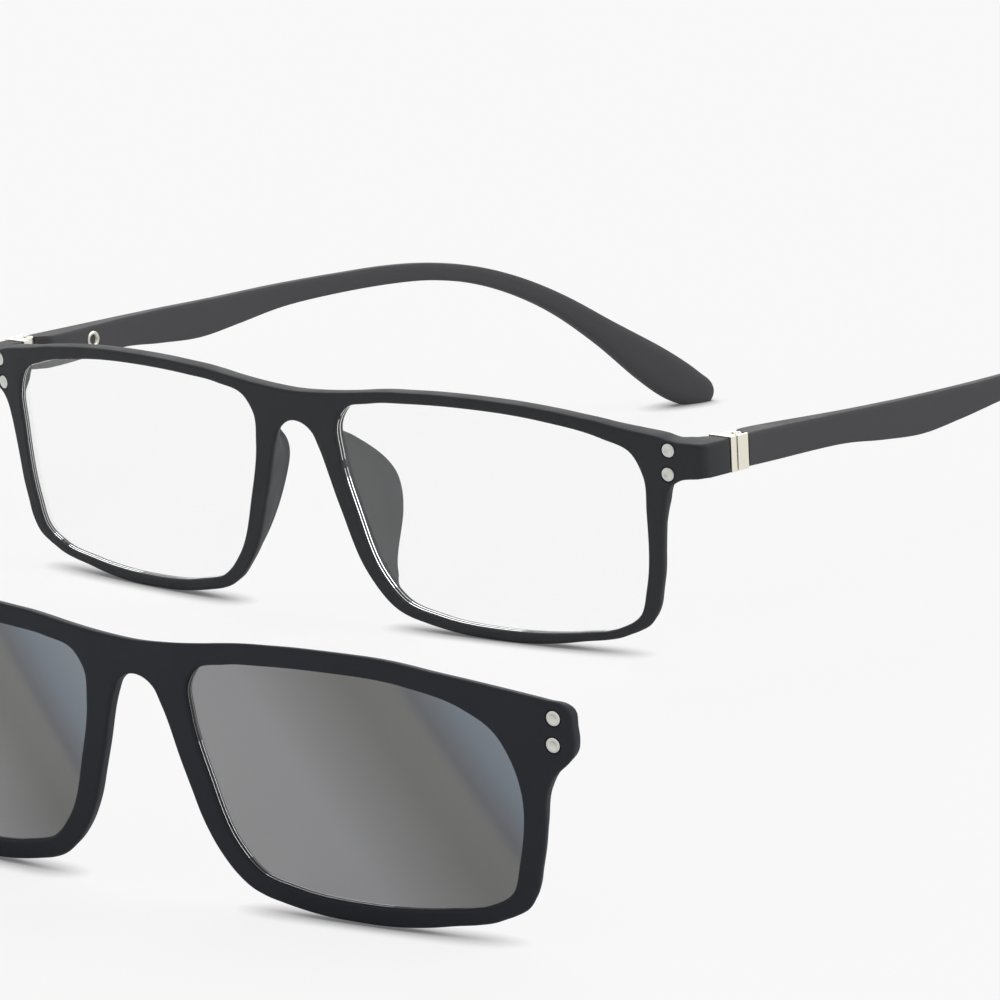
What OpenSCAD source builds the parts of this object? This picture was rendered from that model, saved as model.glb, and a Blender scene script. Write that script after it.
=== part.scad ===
// Eyeglasses with a magnetic clip-on front, in millimetres.
// X runs to the viewer's right, Y runs back along the temples and Z is up.
// The origin lies on the table, under the middle of the bridge.

/* [Lens openings] */
// Width of a lens opening
lens_w = 53.15; // [50:0.05:57]
// Height of a lens opening
lens_h = 31.9; // [30:0.1:35]
// Gap between the two openings
bridge_gap = 16.9; // [15:0.1:19]

/* [Front] */
// Radius of the front's curve, seen from above
face_r = 343; // [250:1:600]
// Lean of the front, top edge forward, in degrees
lean = 4.66; // [0:0.02:6]
// Rim width along the top
rim_top = 2.05; // [1.6:0.05:2.4]
// Rim width at the outer end of the top
rim_brow = 2.5; // [1.8:0.05:2.6]
// Rim width along the bottom
rim_bottom = 2.2; // [1.6:0.05:2.6]
// Rim width on the temple side
rim_side = 2.95; // [2.2:0.05:3.2]
// Rim width on the nose side
rim_nose = 3.65; // [3:0.05:4.2]
// Depth of the rim, front to back
rim_depth = 2.4; // [2.2:0.05:3]
// How far the rim's outer wall leans in from front to back
rim_draft = 0.4; // [0.1:0.05:0.6]
// Depth of the rim on the temple side
side_depth = 2.1; // [2:0.05:2.6]
// Rounding of the rim's edges
edge_r = 0.38; // [0.2:0.02:0.5]
// Height of the bridge at its middle
bridge_h = 4.85; // [3.5:0.05:5.5]
// Dip of the top line from the rims to the middle
brow_dip = 1.2; // [0.5:0.05:2]
// Radius of the arch under the bridge
arch_r = 4.35; // [4:0.05:5.2]

/* [Nose pads] */
// How far a pad stands behind the rim
pad_depth = 7.1; // [5:0.1:8]
// Thickness of a pad at its edge
pad_edge = 1.05; // [0.9:0.05:1.4]
// Flare of a pad towards the lens
pad_flare = 2.4; // [1.5:0.1:3]
// Reach of a pad above its deepest place
pad_up = 9.6; // [8:0.1:10]
// Reach of a pad below its deepest place
pad_down = 14.6; // [12:0.1:15]

/* [End pieces] */
// Reach of the side face beyond the lens opening
end_reach = 10.3; // [9:0.05:12]
// Height of the end piece at the hinge
end_h = 4.95; // [4.2:0.05:5]
// Depth of the end piece behind its front face
end_depth = 4.3; // [3.8:0.1:5]
// Wall of the end piece beside the hinge
end_wall = 4.1; // [3.6:0.05:4.6]
// Radius of the front corner
corner_r = 1.6; // [1:0.1:2]
// Where the end piece stops, measured back from the origin
end_y = 10.85; // [9.5:0.05:13]

/* [Magnets] */
// Diameter of a magnet
magnet_d = 2; // [1.6:0.05:2.2]
// Depth of a magnet in the front
magnet_l = 1.5; // [1:0.1:1.7]
// Spacing of the two magnets of a pair
magnet_gap = 3.5; // [3.1:0.05:3.8]
// Gap round a magnet in its pocket
magnet_fit = 0.06; // [0.03:0.01:0.1]

/* [Hinges] */
// Radius of the hinge knuckles
knuckle_r = 1.25; // [1.15:0.05:1.3]
// Diameter of the hinge screw
screw_d = 1.2; // [1:0.05:1.3]
// Diameter of the screw's head
screw_head_d = 1.8; // [1.6:0.05:1.9]
// Radial gap between the screw and the knuckles
screw_fit = 0.04; // [0.02:0.01:0.08]
// Gap between parts of the hinge that pass each other
hinge_gap = 0.12; // [0.1:0.01:0.16]
// Thickness of the tongues that are set in the plastic
tongue_t = 1.1; // [0.9:0.05:1.3]
// Gap round the tongues
tongue_fit = 0.05; // [0.03:0.01:0.1]
// Diameter of the rivet's ring on a temple
rivet_d = 2.6; // [2.2:0.1:3]

/* [Temples] */
// Length of a temple behind the hinge pin, measured along Y
temple_l = 135.6; // [125:0.1:145]
// Height of a temple at the hinge
temple_h = 4.85; // [4.2:0.05:5]
// Height of the belly of a temple
belly_h = 5.6; // [4.6:0.1:6.4]
// Height of a temple where it passes over the ear
ear_h = 2.75; // [2.4:0.05:3.6]
// Height of the tip's paddle
tip_h = 6.4; // [5:0.1:7]
// Thickness of a temple at the hinge
temple_t = 4; // [3.6:0.1:4.3]
// Thickness of a temple past the belly
blade_t = 1.9; // [1.6:0.1:2.6]
// Thickness of the tip
tip_t = 2.7; // [2.2:0.1:3.2]
// How far a tip curves in towards the head
tip_in = 17.5; // [10:0.5:20]

/* [Lenses] */
// Thickness of a lens
lens_t = 1.6; // [1.4:0.05:1.7]
// Thickness of the bevel that sits in the rim's groove
bevel_t = 0.8; // [0.6:0.05:0.9]
// Depth of the groove in the rim
groove = 0.6; // [0.4:0.05:0.7]
// Gap between a lens and its rim
lens_fit = 0.06; // [0.03:0.01:0.1]

/* [Clip-on] */
// Depth of the clip-on rim, front to back
clip_depth = 2; // [1.8:0.05:2.4]
// Gap between the clip-on and the front when it is on
clip_gap = 0.3; // [0.25:0.01:0.5]
// How far the clip-on opening is set in from the lens opening
clip_inset = 1; // [0.6:0.05:1.4]
// Thickness of a tinted lens
tint_t = 1.1; // [0.9:0.05:1.2]
// Where the clip-on stands apart, to the side
clip_away_x = 96; // [90:1:140]
// Where the clip-on stands apart, forward of the front
clip_away_y = 128; // [120:1:180]
// Height of the clip-on above the table
clip_lift = 0.3; // [0.2:0.05:0.6]

/* [Hidden] */

black = "#2c2d2f";
silver = "#c9c8c4";
clear = [0.85, 0.9, 0.92, 0.35];
tint = [0.2, 0.2, 0.22, 0.7];

// Outline of a lens opening in halves of its width and height, clockwise
// from the upper corner at the nose, seen from the front
OUTLINE = [
    [-0.935, 0.84], [-0.735, 0.945], [-0.5, 0.98], [-0.16, 0.995], [0.39, 0.94],
    [0.765, 0.83], [0.93, 0.72], [0.993, 0.48], [0.993, 0.18], [0.965, -0.39],
    [0.92, -0.695], [0.79, -0.865], [0.36, -0.96], [0, -1], [-0.47, -0.92],
    [-0.695, -0.78], [-0.8, -0.54], [-0.92, -0.04], [-0.996, 0.45], [-0.993, 0.72]
];
// The tinted lens has the same outline with a rounder upper outer corner
CLIP_OUTLINE = [
    for (i = [0:len(OUTLINE) - 1])
        i == 5 ? [0.71, 0.80] : i == 6 ? [0.88, 0.62] : i == 7 ? [0.965, 0.38] : OUTLINE[i]
];

lens_x = (bridge_gap + lens_w)/2;
side_x = lens_x + lens_w/2 + end_reach;
outer_x = lens_x + lens_w/2;
// The lowest edge of the leaning front meets the table
rim_foot = -tan(lean)*(face_r - sqrt(face_r^2 - lens_x^2));
lens_z = rim_foot + rim_bottom + lens_h/2;
lens_top = lens_z + lens_h/2;
end_bottom = lens_top - 7.25;
end_top = end_bottom + end_h;

function mix(a, b, k) = a + (b - a)*k;
function clamp(k) = min(max(k, 0), 1);
function ease(k) = let (c = clamp(k)) c*c*(3 - 2*c);
function lean_back(p) =
    [p[0], p[1]*cos(lean) - p[2]*sin(lean), p[1]*sin(lean) + p[2]*cos(lean)];

// A smooth closed curve through points; t counts the points
function knot(p, i) = p[(i + 10*len(p)) % len(p)];
function heading(p, i) =
    let (a = knot(p, i) - knot(p, i - 1), b = knot(p, i + 1) - knot(p, i))
    (a/norm(a)*norm(b) + b/norm(b)*norm(a))/(norm(a) + norm(b));
function on_curve(p, t) =
    let (i = floor(t), k = t - i, a = knot(p, i), b = knot(p, i + 1), h = norm(b - a))
    (2*k^3 - 3*k^2 + 1)*a + (k^3 - 2*k^2 + k)*h*heading(p, i)
    + (3*k^2 - 2*k^3)*b + (k^3 - k^2)*h*heading(p, i + 1);
function outward(p, t) =
    let (d = on_curve(p, t + 0.02) - on_curve(p, t - 0.02)) [-d[1], d[0]]/norm(d);

FRAME_OPENING = [for (q = OUTLINE) [lens_x + q[0]*lens_w/2, lens_z + q[1]*lens_h/2]];
CLIP_OPENING = [
    for (q = CLIP_OUTLINE)
        [lens_x + q[0]*(lens_w/2 - clip_inset), lens_z + q[1]*(lens_h/2 - clip_inset)]
];

// The front in plan: an arc, a soft corner, then a straight side
function arc_turn(x) = asin(x/face_r);
function on_arc(x, depth) =
    [x, face_r - sqrt(face_r^2 - x^2)] + depth*[-sin(arc_turn(x)), cos(arc_turn(x))];
// The walls round an opening run straight back, as a mould leaves them
function behind(x, depth) = on_arc(x, 0) + [0, depth/cos(arc_turn(x))];
function bend_len(x, r) = r*(90 - arc_turn(x))*PI/180;
function plan(s, corner, depth, r) =
    let (a = arc_turn(corner), start = behind(corner, depth), b = a + (s - corner)/r*180/PI)
    s <= corner ? behind(s, depth)
    : s <= corner + bend_len(corner, r) ? start + r*[sin(b) - sin(a), cos(a) - cos(b)]
    : start + r*[1 - sin(a), cos(a)] + [0, s - corner - bend_len(corner, r)];

inner_r = 0.8;
inner_x = side_x - end_wall;
// Distances along the outside: corner starts, is half way, ends
bend_a = side_x - corner_r*(1 - side_x/face_r);
bend_c = bend_a + bend_len(bend_a, corner_r);
bend_b = (bend_a + bend_c)/2;
// The same places along the inside
bend_ia = inner_x - inner_r*(1 - inner_x/face_r);
bend_ic = bend_ia + bend_len(bend_ia, inner_r);
keep_x = outer_x + rim_side;

// The end piece is level in the room and stops square, so its rear edge
// depends on the height in the leaning front
function rear_y(v) = (end_y + sin(lean)*v)/cos(lean);
function rear_s(v) = bend_c + rear_y(v) - plan(bend_c, bend_a, 0, corner_r)[1];
function rear_is(v) = bend_ic + rear_y(v) - plan(bend_ic, bend_ia, end_depth, inner_r)[1];
function depth_at(s, v) =
    let (up = ease((v - end_bottom + 1.8)/2.6))
    lookup(s, [[0, rim_depth + 0.1], [20, rim_depth], [outer_x - 10, rim_depth],
        [keep_x, mix(side_depth, mix(rim_depth, end_depth, 0.6), up)],
        [bend_ia, mix(side_depth, end_depth, up)]]);
function inside_s(s, v) =
    lookup(s, [[0, 0], [keep_x, keep_x], [bend_a, bend_ia], [bend_c, bend_ic],
        [rear_s(v), rear_is(v)]]);

// A place in the shell: s along the outside, height v, depth share k
function frame_point(s, v, k) =
    let (i = inside_s(s, v),
        front = plan(s, bend_a, 0, corner_r),
        back = plan(i, bend_ia, depth_at(i, v), inner_r),
        p = mix(front, back, k))
    lean_back([p[0], p[1], v]);
function clip_point(s, v, k) =
    let (p = behind(s, -clip_gap - clip_depth*(1 - k))) lean_back([p[0], p[1], v + clip_lift]);

// A row of a rim: opening point, its outward direction, outer point, the
// step from the outer point to where its edge rounding starts, and the lean
// of the outer wall towards the back
function plain_row(p, t, w) =
    let (n = outward(p, t), q = on_curve(p, t) + w*n,
        square = [max(n[0], 0)*side_depth*q[0]/face_r, 0])
    [on_curve(p, t), n, q, -edge_r*n, -rim_draft*n - square];
function free_row(p, t, q, step, draft = [0, 0]) =
    [on_curve(p, t), outward(p, t), q, edge_r*step, rim_draft*draft];
function rim_width(n, x) =
    n[0]^2*(n[0] > 0 ? rim_side : rim_nose)
    + n[1]^2*(n[1] > 0 ? mix(rim_top, rim_brow, ease((x - lens_x)*2/lens_w)) : rim_bottom);
function frame_row(t) =
    plain_row(FRAME_OPENING, t,
        rim_width(outward(FRAME_OPENING, t), on_curve(FRAME_OPENING, t)[0]));

// Bridge: the top line dips to the middle, and a round arch lies under it
brow_start = plain_row(FRAME_OPENING, 1, rim_top)[2];
bridge_top = brow_start[1] - brow_dip;
arch_z = bridge_top - bridge_h - arch_r;
function brow(start, k) = [start[0]*k, start[1] - brow_dip + brow_dip*k^1.6];
function arch(a) = [arch_r*sin(a), arch_z + arch_r*cos(a)];
// Rows from the nose side up through the arch, the middle and the brow
function bridge_rows(p, start) =
    let (top = start[1] - brow_dip)
    [
        free_row(p, 17.95, arch(75), [0.9, -0.1], [0.7, 0]),
        free_row(p, 18.3, arch(50), [0.8, 0.6], [0.4, 0.2]),
        free_row(p, 18.65, arch(25), [0.4, 0.9], [0.1, 0.1]),
        free_row(p, 18.95, arch(0), [0, 1]),
        free_row(p, 19.25, [0, top - bridge_h*0.68], [0, 0]),
        free_row(p, 19.5, [0, top - bridge_h*0.34], [0, 0]),
        for (b = [[19.8, 0], [20.15, 0.3], [20.45, 0.58], [20.75, 0.82]])
            free_row(p, b[0], brow(start, b[1]), [0, -1], [0, -1])
    ];

// End piece: heights of its level top and bottom, at a distance s
function level(z, s) =
    let (p = plan(s, bend_a, 0, corner_r)) (z - sin(lean)*p[1])/cos(lean);
function rear_point(z) =
    let (v = z*cos(lean) - end_y*sin(lean)) [rear_s(v), v];
function end_row(t, s, z, step) = free_row(FRAME_OPENING, t, [s, level(z, s)], step);
fillet_x = outer_x + rim_side + 0.9;

FRAME_ROWS = concat(
    [for (t = [1, 1.5, 2, 2.5, 3, 3.33, 3.67, 4, 4.3, 4.6, 4.85, 5.1]) frame_row(t)],
    [
        free_row(FRAME_OPENING, 5.4, [outer_x - 1.2, level(end_top + 1.1, outer_x)],
            [0, -1], [0, -0.4]),
        free_row(FRAME_OPENING, 5.6, [outer_x + 2.6, level(end_top + 0.5, outer_x)], [0, -1]),
        end_row(5.75, outer_x + 6, end_top + 0.05, [0, -1]),
        end_row(5.85, bend_a, end_top, [0, -1]),
        end_row(5.92, bend_b, end_top, [0, -1]),
        end_row(6, bend_c, end_top, [0, -1]),
        free_row(FRAME_OPENING, 6.08, rear_point(end_top), [-1, -1]),
        free_row(FRAME_OPENING, 6.2, rear_point(end_top - end_h/2), [-1, 0]),
        free_row(FRAME_OPENING, 6.34, rear_point(end_bottom), [-1, 1]),
        end_row(6.46, bend_c, end_bottom, [0, 1]),
        end_row(6.56, bend_b, end_bottom, [0, 1]),
        end_row(6.68, bend_a, end_bottom, [0, 1]),
        end_row(6.95, fillet_x + 2.1, end_bottom - 0.15, [-0.3, 1]),
        end_row(7.2, fillet_x + 0.5, end_bottom - 0.85, [-0.7, 0.7]),
        end_row(7.5, fillet_x - 0.45, end_bottom - 2.1, [-0.9, 0.4]),
        free_row(FRAME_OPENING, 7.75, [fillet_x - 0.8, level(end_bottom - 3.8, outer_x)],
            [-1, 0.1], [-0.6, 0])
    ],
    [for (t = [8.2, 8.6, 9, 9.5, 10, 10.35, 10.7, 11, 11.4, 11.8, 12.25, 12.7, 13.2, 13.6,
        14, 14.35, 14.7, 15, 15.3, 15.65, 16, 16.33, 16.67, 17, 17.35, 17.65])
        frame_row(t)],
    bridge_rows(FRAME_OPENING, brow_start)
);

// Height of a nose pad behind the rim, at height v on the nose side
pad_z = lens_z + 1.1;
function pad_at(row) =
    let (v = row[0][1], k = v > pad_z ? (v - pad_z)/pad_up : (pad_z - v)/pad_down)
    row[1][0] > -0.5 || k >= 1 ? 0 : pad_depth*cos(90*k)^(v > pad_z ? 1 : 1.3);

// Three places between the opening and the outer edge; past the corner they
// sit on the corner's start, middle and end
function between(row) =
    let (a = row[0][0] + edge_r*row[1][0], b = row[2][0] + row[3][0])
    let (stops = b <= bend_a + 0.01 ? [mix(a, b, 0.25), mix(a, b, 0.5), mix(a, b, 0.75)]
        : b <= bend_b + 0.01 ? [mix(a, bend_a, 0.33), mix(a, bend_a, 0.67), bend_a]
        : b <= bend_c + 0.01 ? [mix(a, bend_a, 0.5), bend_a, bend_b]
        : [bend_a, bend_b, bend_c])
    abs(b - a) < 0.01 ? [0.25, 0.5, 0.75] : [for (x = stops) (x - a)/(b - a)];

// One row of the frame's shell: 18 points round the rim's section as
// [s, v, depth share], front face first, then the back face and the groove
seat = side_depth/2;
function section(row, depth, pad, slot_mid, slot_w) =
    let (o = row[0], n = row[1], q = row[2], r = edge_r/depth,
        a = o + edge_r*n, b = q + row[3], m = between(row),
        w = norm(q - o), in = 1.3 - pad_flare*pad/pad_depth,
        z = 1 + pad/depth, soft = 0.45/depth, k = clamp(pad/1.5),
        rq = q + row[4], rb = b + row[4],
        plain = [
            [rq, 1 - r], [rb, 1],
            [mix(a, rb, m[2]), 1], [mix(a, rb, m[1]), 1], [mix(a, rb, m[0]), 1]
        ],
        fin = [
            [o + mix(w, in + pad_edge, 0.6)*n, mix(r, z, 0.5)],
            [o + (in + pad_edge)*n, z - 3.6*soft],
            [o + (in + pad_edge*0.4)*n, z - 0.5*soft],
            [o + in*n, z - soft],
            [o + mix(in, edge_r, 0.55)*n, mix(1, z, 0.5)]
        ],
        rear = [for (i = [0:4]) mix(plain[i][0], fin[i][0], k)],
        deep = [for (i = [0:4]) mix(plain[i][1], fin[i][1], k)],
        lip = slot_w/2/depth, mid = slot_mid/depth)
    [
        [o, r], [a, 0], [mix(a, b, m[0]), 0], [mix(a, b, m[1]), 0], [mix(a, b, m[2]), 0],
        [b, 0], [q, r],
        for (i = [0:4]) [rear[i], deep[i]],
        [a, 1], [o, 1 - r],
        [o, mid + lip], [o + groove*n, mid + lip], [o + groove*n, mid - lip], [o, mid - lip]
    ];

// A whole front from the rows of its right half: the left half is its
// mirror image, and the two share the points in the middle plane
RING = 18;
function seam_row(rows, i) = rows[i][2][0] == 0;
function in_seam(rows, i, j) = seam_row(rows, i) && j >= 5 && j <= 8;
function mirror_index(rows, i, j) =
    in_seam(rows, i, j) ? i*RING + j : (len(rows) + i)*RING + j;
module welded_front(rows, points) {
    n = len(rows);
    flat = [for (row = points, p = row) p];
    quads = [
        for (i = [0:n - 1], j = [0:RING - 1])
            let (i2 = (i + 1) % n, j2 = (j + 1) % RING)
            if (!(seam_row(rows, i) && seam_row(rows, i2) && j >= 5 && j <= 7)) [i, j, i2, j2]
    ];
    right = [
        for (f = quads, half = [0, 1])
            let (a = f[0]*RING + f[1], b = f[0]*RING + f[3],
                c = f[2]*RING + f[3], d = f[2]*RING + f[1])
            half == 0 ? [a, b, c] : [a, c, d]
    ];
    left = [
        for (f = quads, half = [0, 1])
            let (a = mirror_index(rows, f[0], f[1]), b = mirror_index(rows, f[0], f[3]),
                c = mirror_index(rows, f[2], f[3]), d = mirror_index(rows, f[2], f[1]))
            half == 0 ? [c, b, a] : [d, c, a]
    ];
    polyhedron(
        points = concat(flat, [for (p = flat) [-p[0], p[1], p[2]]]),
        faces = concat(right, left), convexity = 10
    );
}

FRAME_POINTS = [
    for (row = FRAME_ROWS)
        let (depth = depth_at(row[0][0], row[0][1]))
        [for (p = section(row, depth, pad_at(row), seat, bevel_t + 2*lens_fit))
            frame_point(p[0][0], p[0][1], p[1])]
];

// Places on the front: a coordinate system on its face, Y pointing in
module on_face(x, v, depth = 0) {
    p = on_arc(x, depth);
    translate(lean_back([p[0], p[1], v])) rotate([lean, 0, 0]) rotate([0, 0, arc_turn(x)])
        children();
}
module mirrored(side) {
    mirror([side < 0 ? 1 : 0, 0, 0]) children();
}

magnet_x = outer_x + 4.6;
magnet_z = lens_top - 3.85;
magnet_slant = 0.4;
// Places of the pair: upper, then lower
MAGNET_PLACES = [[magnet_x, magnet_z], [magnet_x - magnet_slant, magnet_z - magnet_gap]];

module disc(d, l, from) {
    rotate([-90, 0, 0]) translate([0, 0, from]) cylinder(h = l, d = d, $fn = 48);
}
// A magnet is a plated disc with a shallow dish in its face
magnet_proud = 0.03;
dish_depth = 0.08;
module magnet(l) {
    difference() {
        disc(magnet_d, l, -magnet_proud);
        disc(magnet_d*0.55, dish_depth + 0.1, -magnet_proud - 0.1);
    }
}

module front_frame() {
    color(black) difference() {
        welded_front(FRAME_ROWS, FRAME_POINTS);
        for (side = [-1, 1]) mirrored(side) {
            for (p = MAGNET_PLACES)
                on_face(p[0], p[1]) disc(magnet_d + 2*magnet_fit, magnet_l + magnet_fit + 0.5, -0.5);
            front_tongue(tongue_fit);
        }
    }
}
module front_magnet(side, i) {
    p = MAGNET_PLACES[i];
    color(silver) mirrored(side) on_face(p[0], p[1]) magnet(magnet_l);
}

// A lens is a curved shell inside the opening, with a thinner bevel round
// it that sits in the groove of the rim
module shell_slice(from, to, low, high) {
    translate([0, face_r, low]) difference() {
        cylinder(h = high - low, r = face_r - from, $fn = 360);
        translate([0, 0, -1]) cylinder(h = high - low + 2, r = face_r - to, $fn = 360);
    }
}
module outline_block(rows, grow) {
    translate([0, 40, 0]) rotate([90, 0, 0]) linear_extrude(60)
        polygon([for (row = rows) row[0] + grow*row[1]]);
}
module lens(rows, from, t, bevel_from, bevel, lift) {
    low = lens_z - lens_h;
    high = lens_z + lens_h;
    rotate([lean, 0, 0]) translate([0, 0, lift]) {
        intersection() {
            shell_slice(from, from + t, low, high);
            outline_block(rows, -lens_fit);
        }
        intersection() {
            shell_slice(bevel_from, bevel_from + bevel, low, high);
            outline_block(rows, groove - lens_fit);
        }
    }
}
module front_lens(side) {
    color(clear) mirrored(side)
        lens(FRAME_ROWS, seat - lens_t/2, lens_t, seat - bevel_t/2, bevel_t, 0);
}

// Hinge: the pin stands upright, behind the end piece
pin_x = side_x - 1.8;
pin_y = end_y + 2.45;
hinge_z = end_bottom + 0.05;
hinge_h = end_h + 0.1;
plate_y = end_y + tongue_fit;
plate_t = 1.15;
skin_t = side_x - pin_x - knuckle_r - hinge_gap;
leaf_end = pin_y + knuckle_r;
knuckle_h = (hinge_h - 2*hinge_gap)/3;
head_h = 0.55;

module bar(x0, x1, y0, y1, z0, z1) {
    translate([x0, y0, z0]) cube([x1 - x0, y1 - y0, z1 - z0]);
}
module pin_column(r, z0, z1) {
    translate([pin_x, pin_y, z0]) cylinder(h = z1 - z0, r = r, $fn = 64);
}
// Tongue of the front leaf, cast into the end piece
tongue_in = 2.9;
tongue_z = hinge_z + 1;
tongue_h = 2.2;
module front_tongue(grow) {
    side = tongue_t/2 + grow;
    bar(pin_x - side, pin_x + side, end_y - tongue_in - grow, plate_y + 0.1,
        tongue_z - grow, tongue_z + tongue_h + grow);
}
module hinge_front_leaf(side) {
    top = hinge_z + hinge_h;
    color(silver) mirrored(side) difference() {
        union() {
            bar(inner_x, side_x, plate_y, plate_y + plate_t, hinge_z, top);
            front_tongue(0);
            for (z = [hinge_z, top - knuckle_h]) {
                pin_column(knuckle_r, z, z + knuckle_h);
                bar(pin_x - knuckle_r, pin_x + 0.9, plate_y + 1, pin_y, z, z + knuckle_h);
            }
        }
        pin_column(knuckle_r + hinge_gap, hinge_z + knuckle_h, top - knuckle_h);
        pin_column(screw_d/2 + screw_fit, hinge_z - 1, top + 1);
        pin_column(screw_head_d/2 + screw_fit, top - head_h, top + 1);
    }
}
module hinge_screw(side) {
    top = hinge_z + hinge_h;
    color(silver) mirrored(side) difference() {
        union() {
            pin_column(screw_d/2, hinge_z + 0.1, top - head_h/2);
            pin_column(screw_head_d/2, top - head_h + screw_fit, top - 0.05);
        }
        for (a = [45, 135])
            translate([pin_x, pin_y, top - 0.3]) rotate([0, 0, a]) translate([-0.55, -0.14, 0])
                cube([1.1, 0.28, 1]);
    }
}
// The temple leaf turns on the screw: a middle knuckle, an outer skin over
// the full height, and a tongue that runs back inside the temple
rivet_y = pin_y + 13;
tongue_end = rivet_y + 2;
module temple_tongue(grow) {
    mid = hinge_z + hinge_h/2;
    high = knuckle_h/2 + grow;
    bar(pin_x - tongue_t/2 - grow, pin_x + tongue_t/2 + grow, leaf_end - 0.2, tongue_end + grow,
        mid - high, mid + high);
}
module hinge_temple_leaf(side) {
    mid = hinge_z + hinge_h/2;
    color(silver) mirrored(side) difference() {
        union() {
            pin_column(knuckle_r, mid - knuckle_h/2, mid + knuckle_h/2);
            bar(pin_x - knuckle_r + 0.3, side_x - skin_t/2, pin_y, leaf_end,
                mid - knuckle_h/2, mid + knuckle_h/2);
            bar(side_x - skin_t, side_x, plate_y + plate_t + 0.3, leaf_end, hinge_z, hinge_z + hinge_h);
            temple_tongue(0);
        }
        pin_column(screw_d/2 + screw_fit, hinge_z, hinge_z + hinge_h);
        rivet_shank(tongue_fit);
    }
}

// Temple: rows of [y, middle height, height, thickness]
temple_y = leaf_end + hinge_gap;
temple_z = hinge_z + hinge_h/2;
back_y = pin_y + temple_l;
function along(y) = pin_y + (y - 13.3)*temple_l/135.6;
TEMPLE_ROWS = [
    [temple_y, temple_z, temple_h, temple_t],
    [along(20), temple_z - 0.1, temple_h, temple_t],
    [along(34), temple_z - 0.35, temple_h - 0.3, mix(temple_t, blade_t, 0.75)],
    [along(43), temple_z - 0.95, mix(temple_h, belly_h, 0.5), blade_t + 0.1],
    [along(51.5), temple_z - 1.4, belly_h, blade_t],
    [along(60), temple_z - 1.15, mix(belly_h, 3.4, 0.38), blade_t],
    [along(70), temple_z - 0.7, 3.6, blade_t],
    [along(81), temple_z - 0.7, 3.1, blade_t],
    [along(91.5), temple_z - 0.95, ear_h + 0.2, blade_t],
    [along(99.7), temple_z - 1.7, ear_h, blade_t + 0.1],
    [along(107.6), temple_z - 3.4, ear_h, blade_t + 0.2],
    [along(115.3), temple_z - 6.3, ear_h + 0.2, blade_t + 0.3],
    [along(122.8), temple_z - 10.4, ear_h + 0.6, mix(blade_t, tip_t, 0.6)],
    [along(130.4), temple_z - 15.9, mix(ear_h, tip_h, 0.42), tip_t],
    [along(137.6), temple_z - 21.55, tip_h - 0.3, tip_t],
    [along(142.3), temple_z - 25.2, tip_h, tip_t],
    [along(145.6), temple_z - 27.3, tip_h - 1, tip_t - 0.3]
];
tip_r = 3.3;

function outer_face(y) =
    side_x + 0.9*ease((y - pin_y)/36) - tip_in*clamp((y - along(62))/(back_y - along(62)))^1.8;
// A smooth open curve through rows of any length
function row_at(rows, t) =
    let (n = len(rows), i = min(floor(t), n - 2), k = t - i,
        a = rows[max(i - 1, 0)], b = rows[i], c = rows[i + 1], d = rows[min(i + 2, n - 1)])
    0.5*(2*b + (c - a)*k + (2*a - 5*b + 4*c - d)*k^2 + (3*b - a - 3*c + d)*k^3);
function pitch(rows, t) =
    let (d = row_at(rows, min(t + 0.05, len(rows) - 1)) - row_at(rows, max(t - 0.05, 0)))
    t < 0.5 ? 0 : atan2(d[1], d[0]);
// A ring of the temple: a rounded oblong that leans with the temple's line
// squareness runs from a flat block at the hinge to a soft oval at the tip
RING_T = 16;
function rounded(a, n) =
    [sign(cos(a))*abs(cos(a))^(2/n), sign(sin(a))*abs(sin(a))^(2/n)];
function relief(y) = 1.35*(1 - ease((y - temple_y)/2.2));
function temple_ring(row, slope, n, ahead, shrink) =
    [
        for (i = [0:RING_T - 1])
            let (e = rounded(360*(i + 0.5)/RING_T, n),
                up = e[1]*row[2]/2*shrink,
                y = row[0] - up*sin(slope) + ahead*cos(slope),
                z = row[1] + up*cos(slope) + ahead*sin(slope),
                t = row[3], thin = relief(y),
                x = outer_face(y) - t/2 + e[0]*t/2*shrink + (e[0] < 0 ? -e[0]*thin : 0))
            [x, y, max(z, 0)]
    ];
TEMPLE_STEPS = 2;
last_row = len(TEMPLE_ROWS) - 1;
TEMPLE_RINGS = concat(
    [for (i = [0:last_row*TEMPLE_STEPS])
        let (t = i/TEMPLE_STEPS, row = row_at(TEMPLE_ROWS, t))
        temple_ring(row, pitch(TEMPLE_ROWS, t), mix(8, 3, ease(t/last_row*1.6)), 0, 1)],
    [for (a = [30, 55, 78])
        temple_ring(TEMPLE_ROWS[last_row], pitch(TEMPLE_ROWS, last_row), 2.6, tip_r*sin(a), cos(a))]
);
function middle(ring) = [for (c = [0:2]) [for (p = ring) p[c]]*[for (p = ring) 1/len(ring)]];
module ring_loft(rings) {
    n = len(rings);
    m = len(rings[0]);
    points = concat([for (ring = rings, p = ring) p], [middle(rings[0]), middle(rings[n - 1])]);
    sides = [
        for (i = [0:n - 2], j = [0:m - 1], half = [0, 1])
            let (a = i*m + j, b = i*m + (j + 1) % m, c = b + m, d = a + m)
            half == 0 ? [a, b, c] : [a, c, d]
    ];
    caps = [
        for (j = [0:m - 1], end = [0, 1])
            end == 0 ? [n*m, (j + 1) % m, j] : [n*m + 1, (n - 1)*m + j, (n - 1)*m + (j + 1) % m]
    ];
    polyhedron(points = points, faces = concat(sides, caps), convexity = 6);
}
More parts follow.
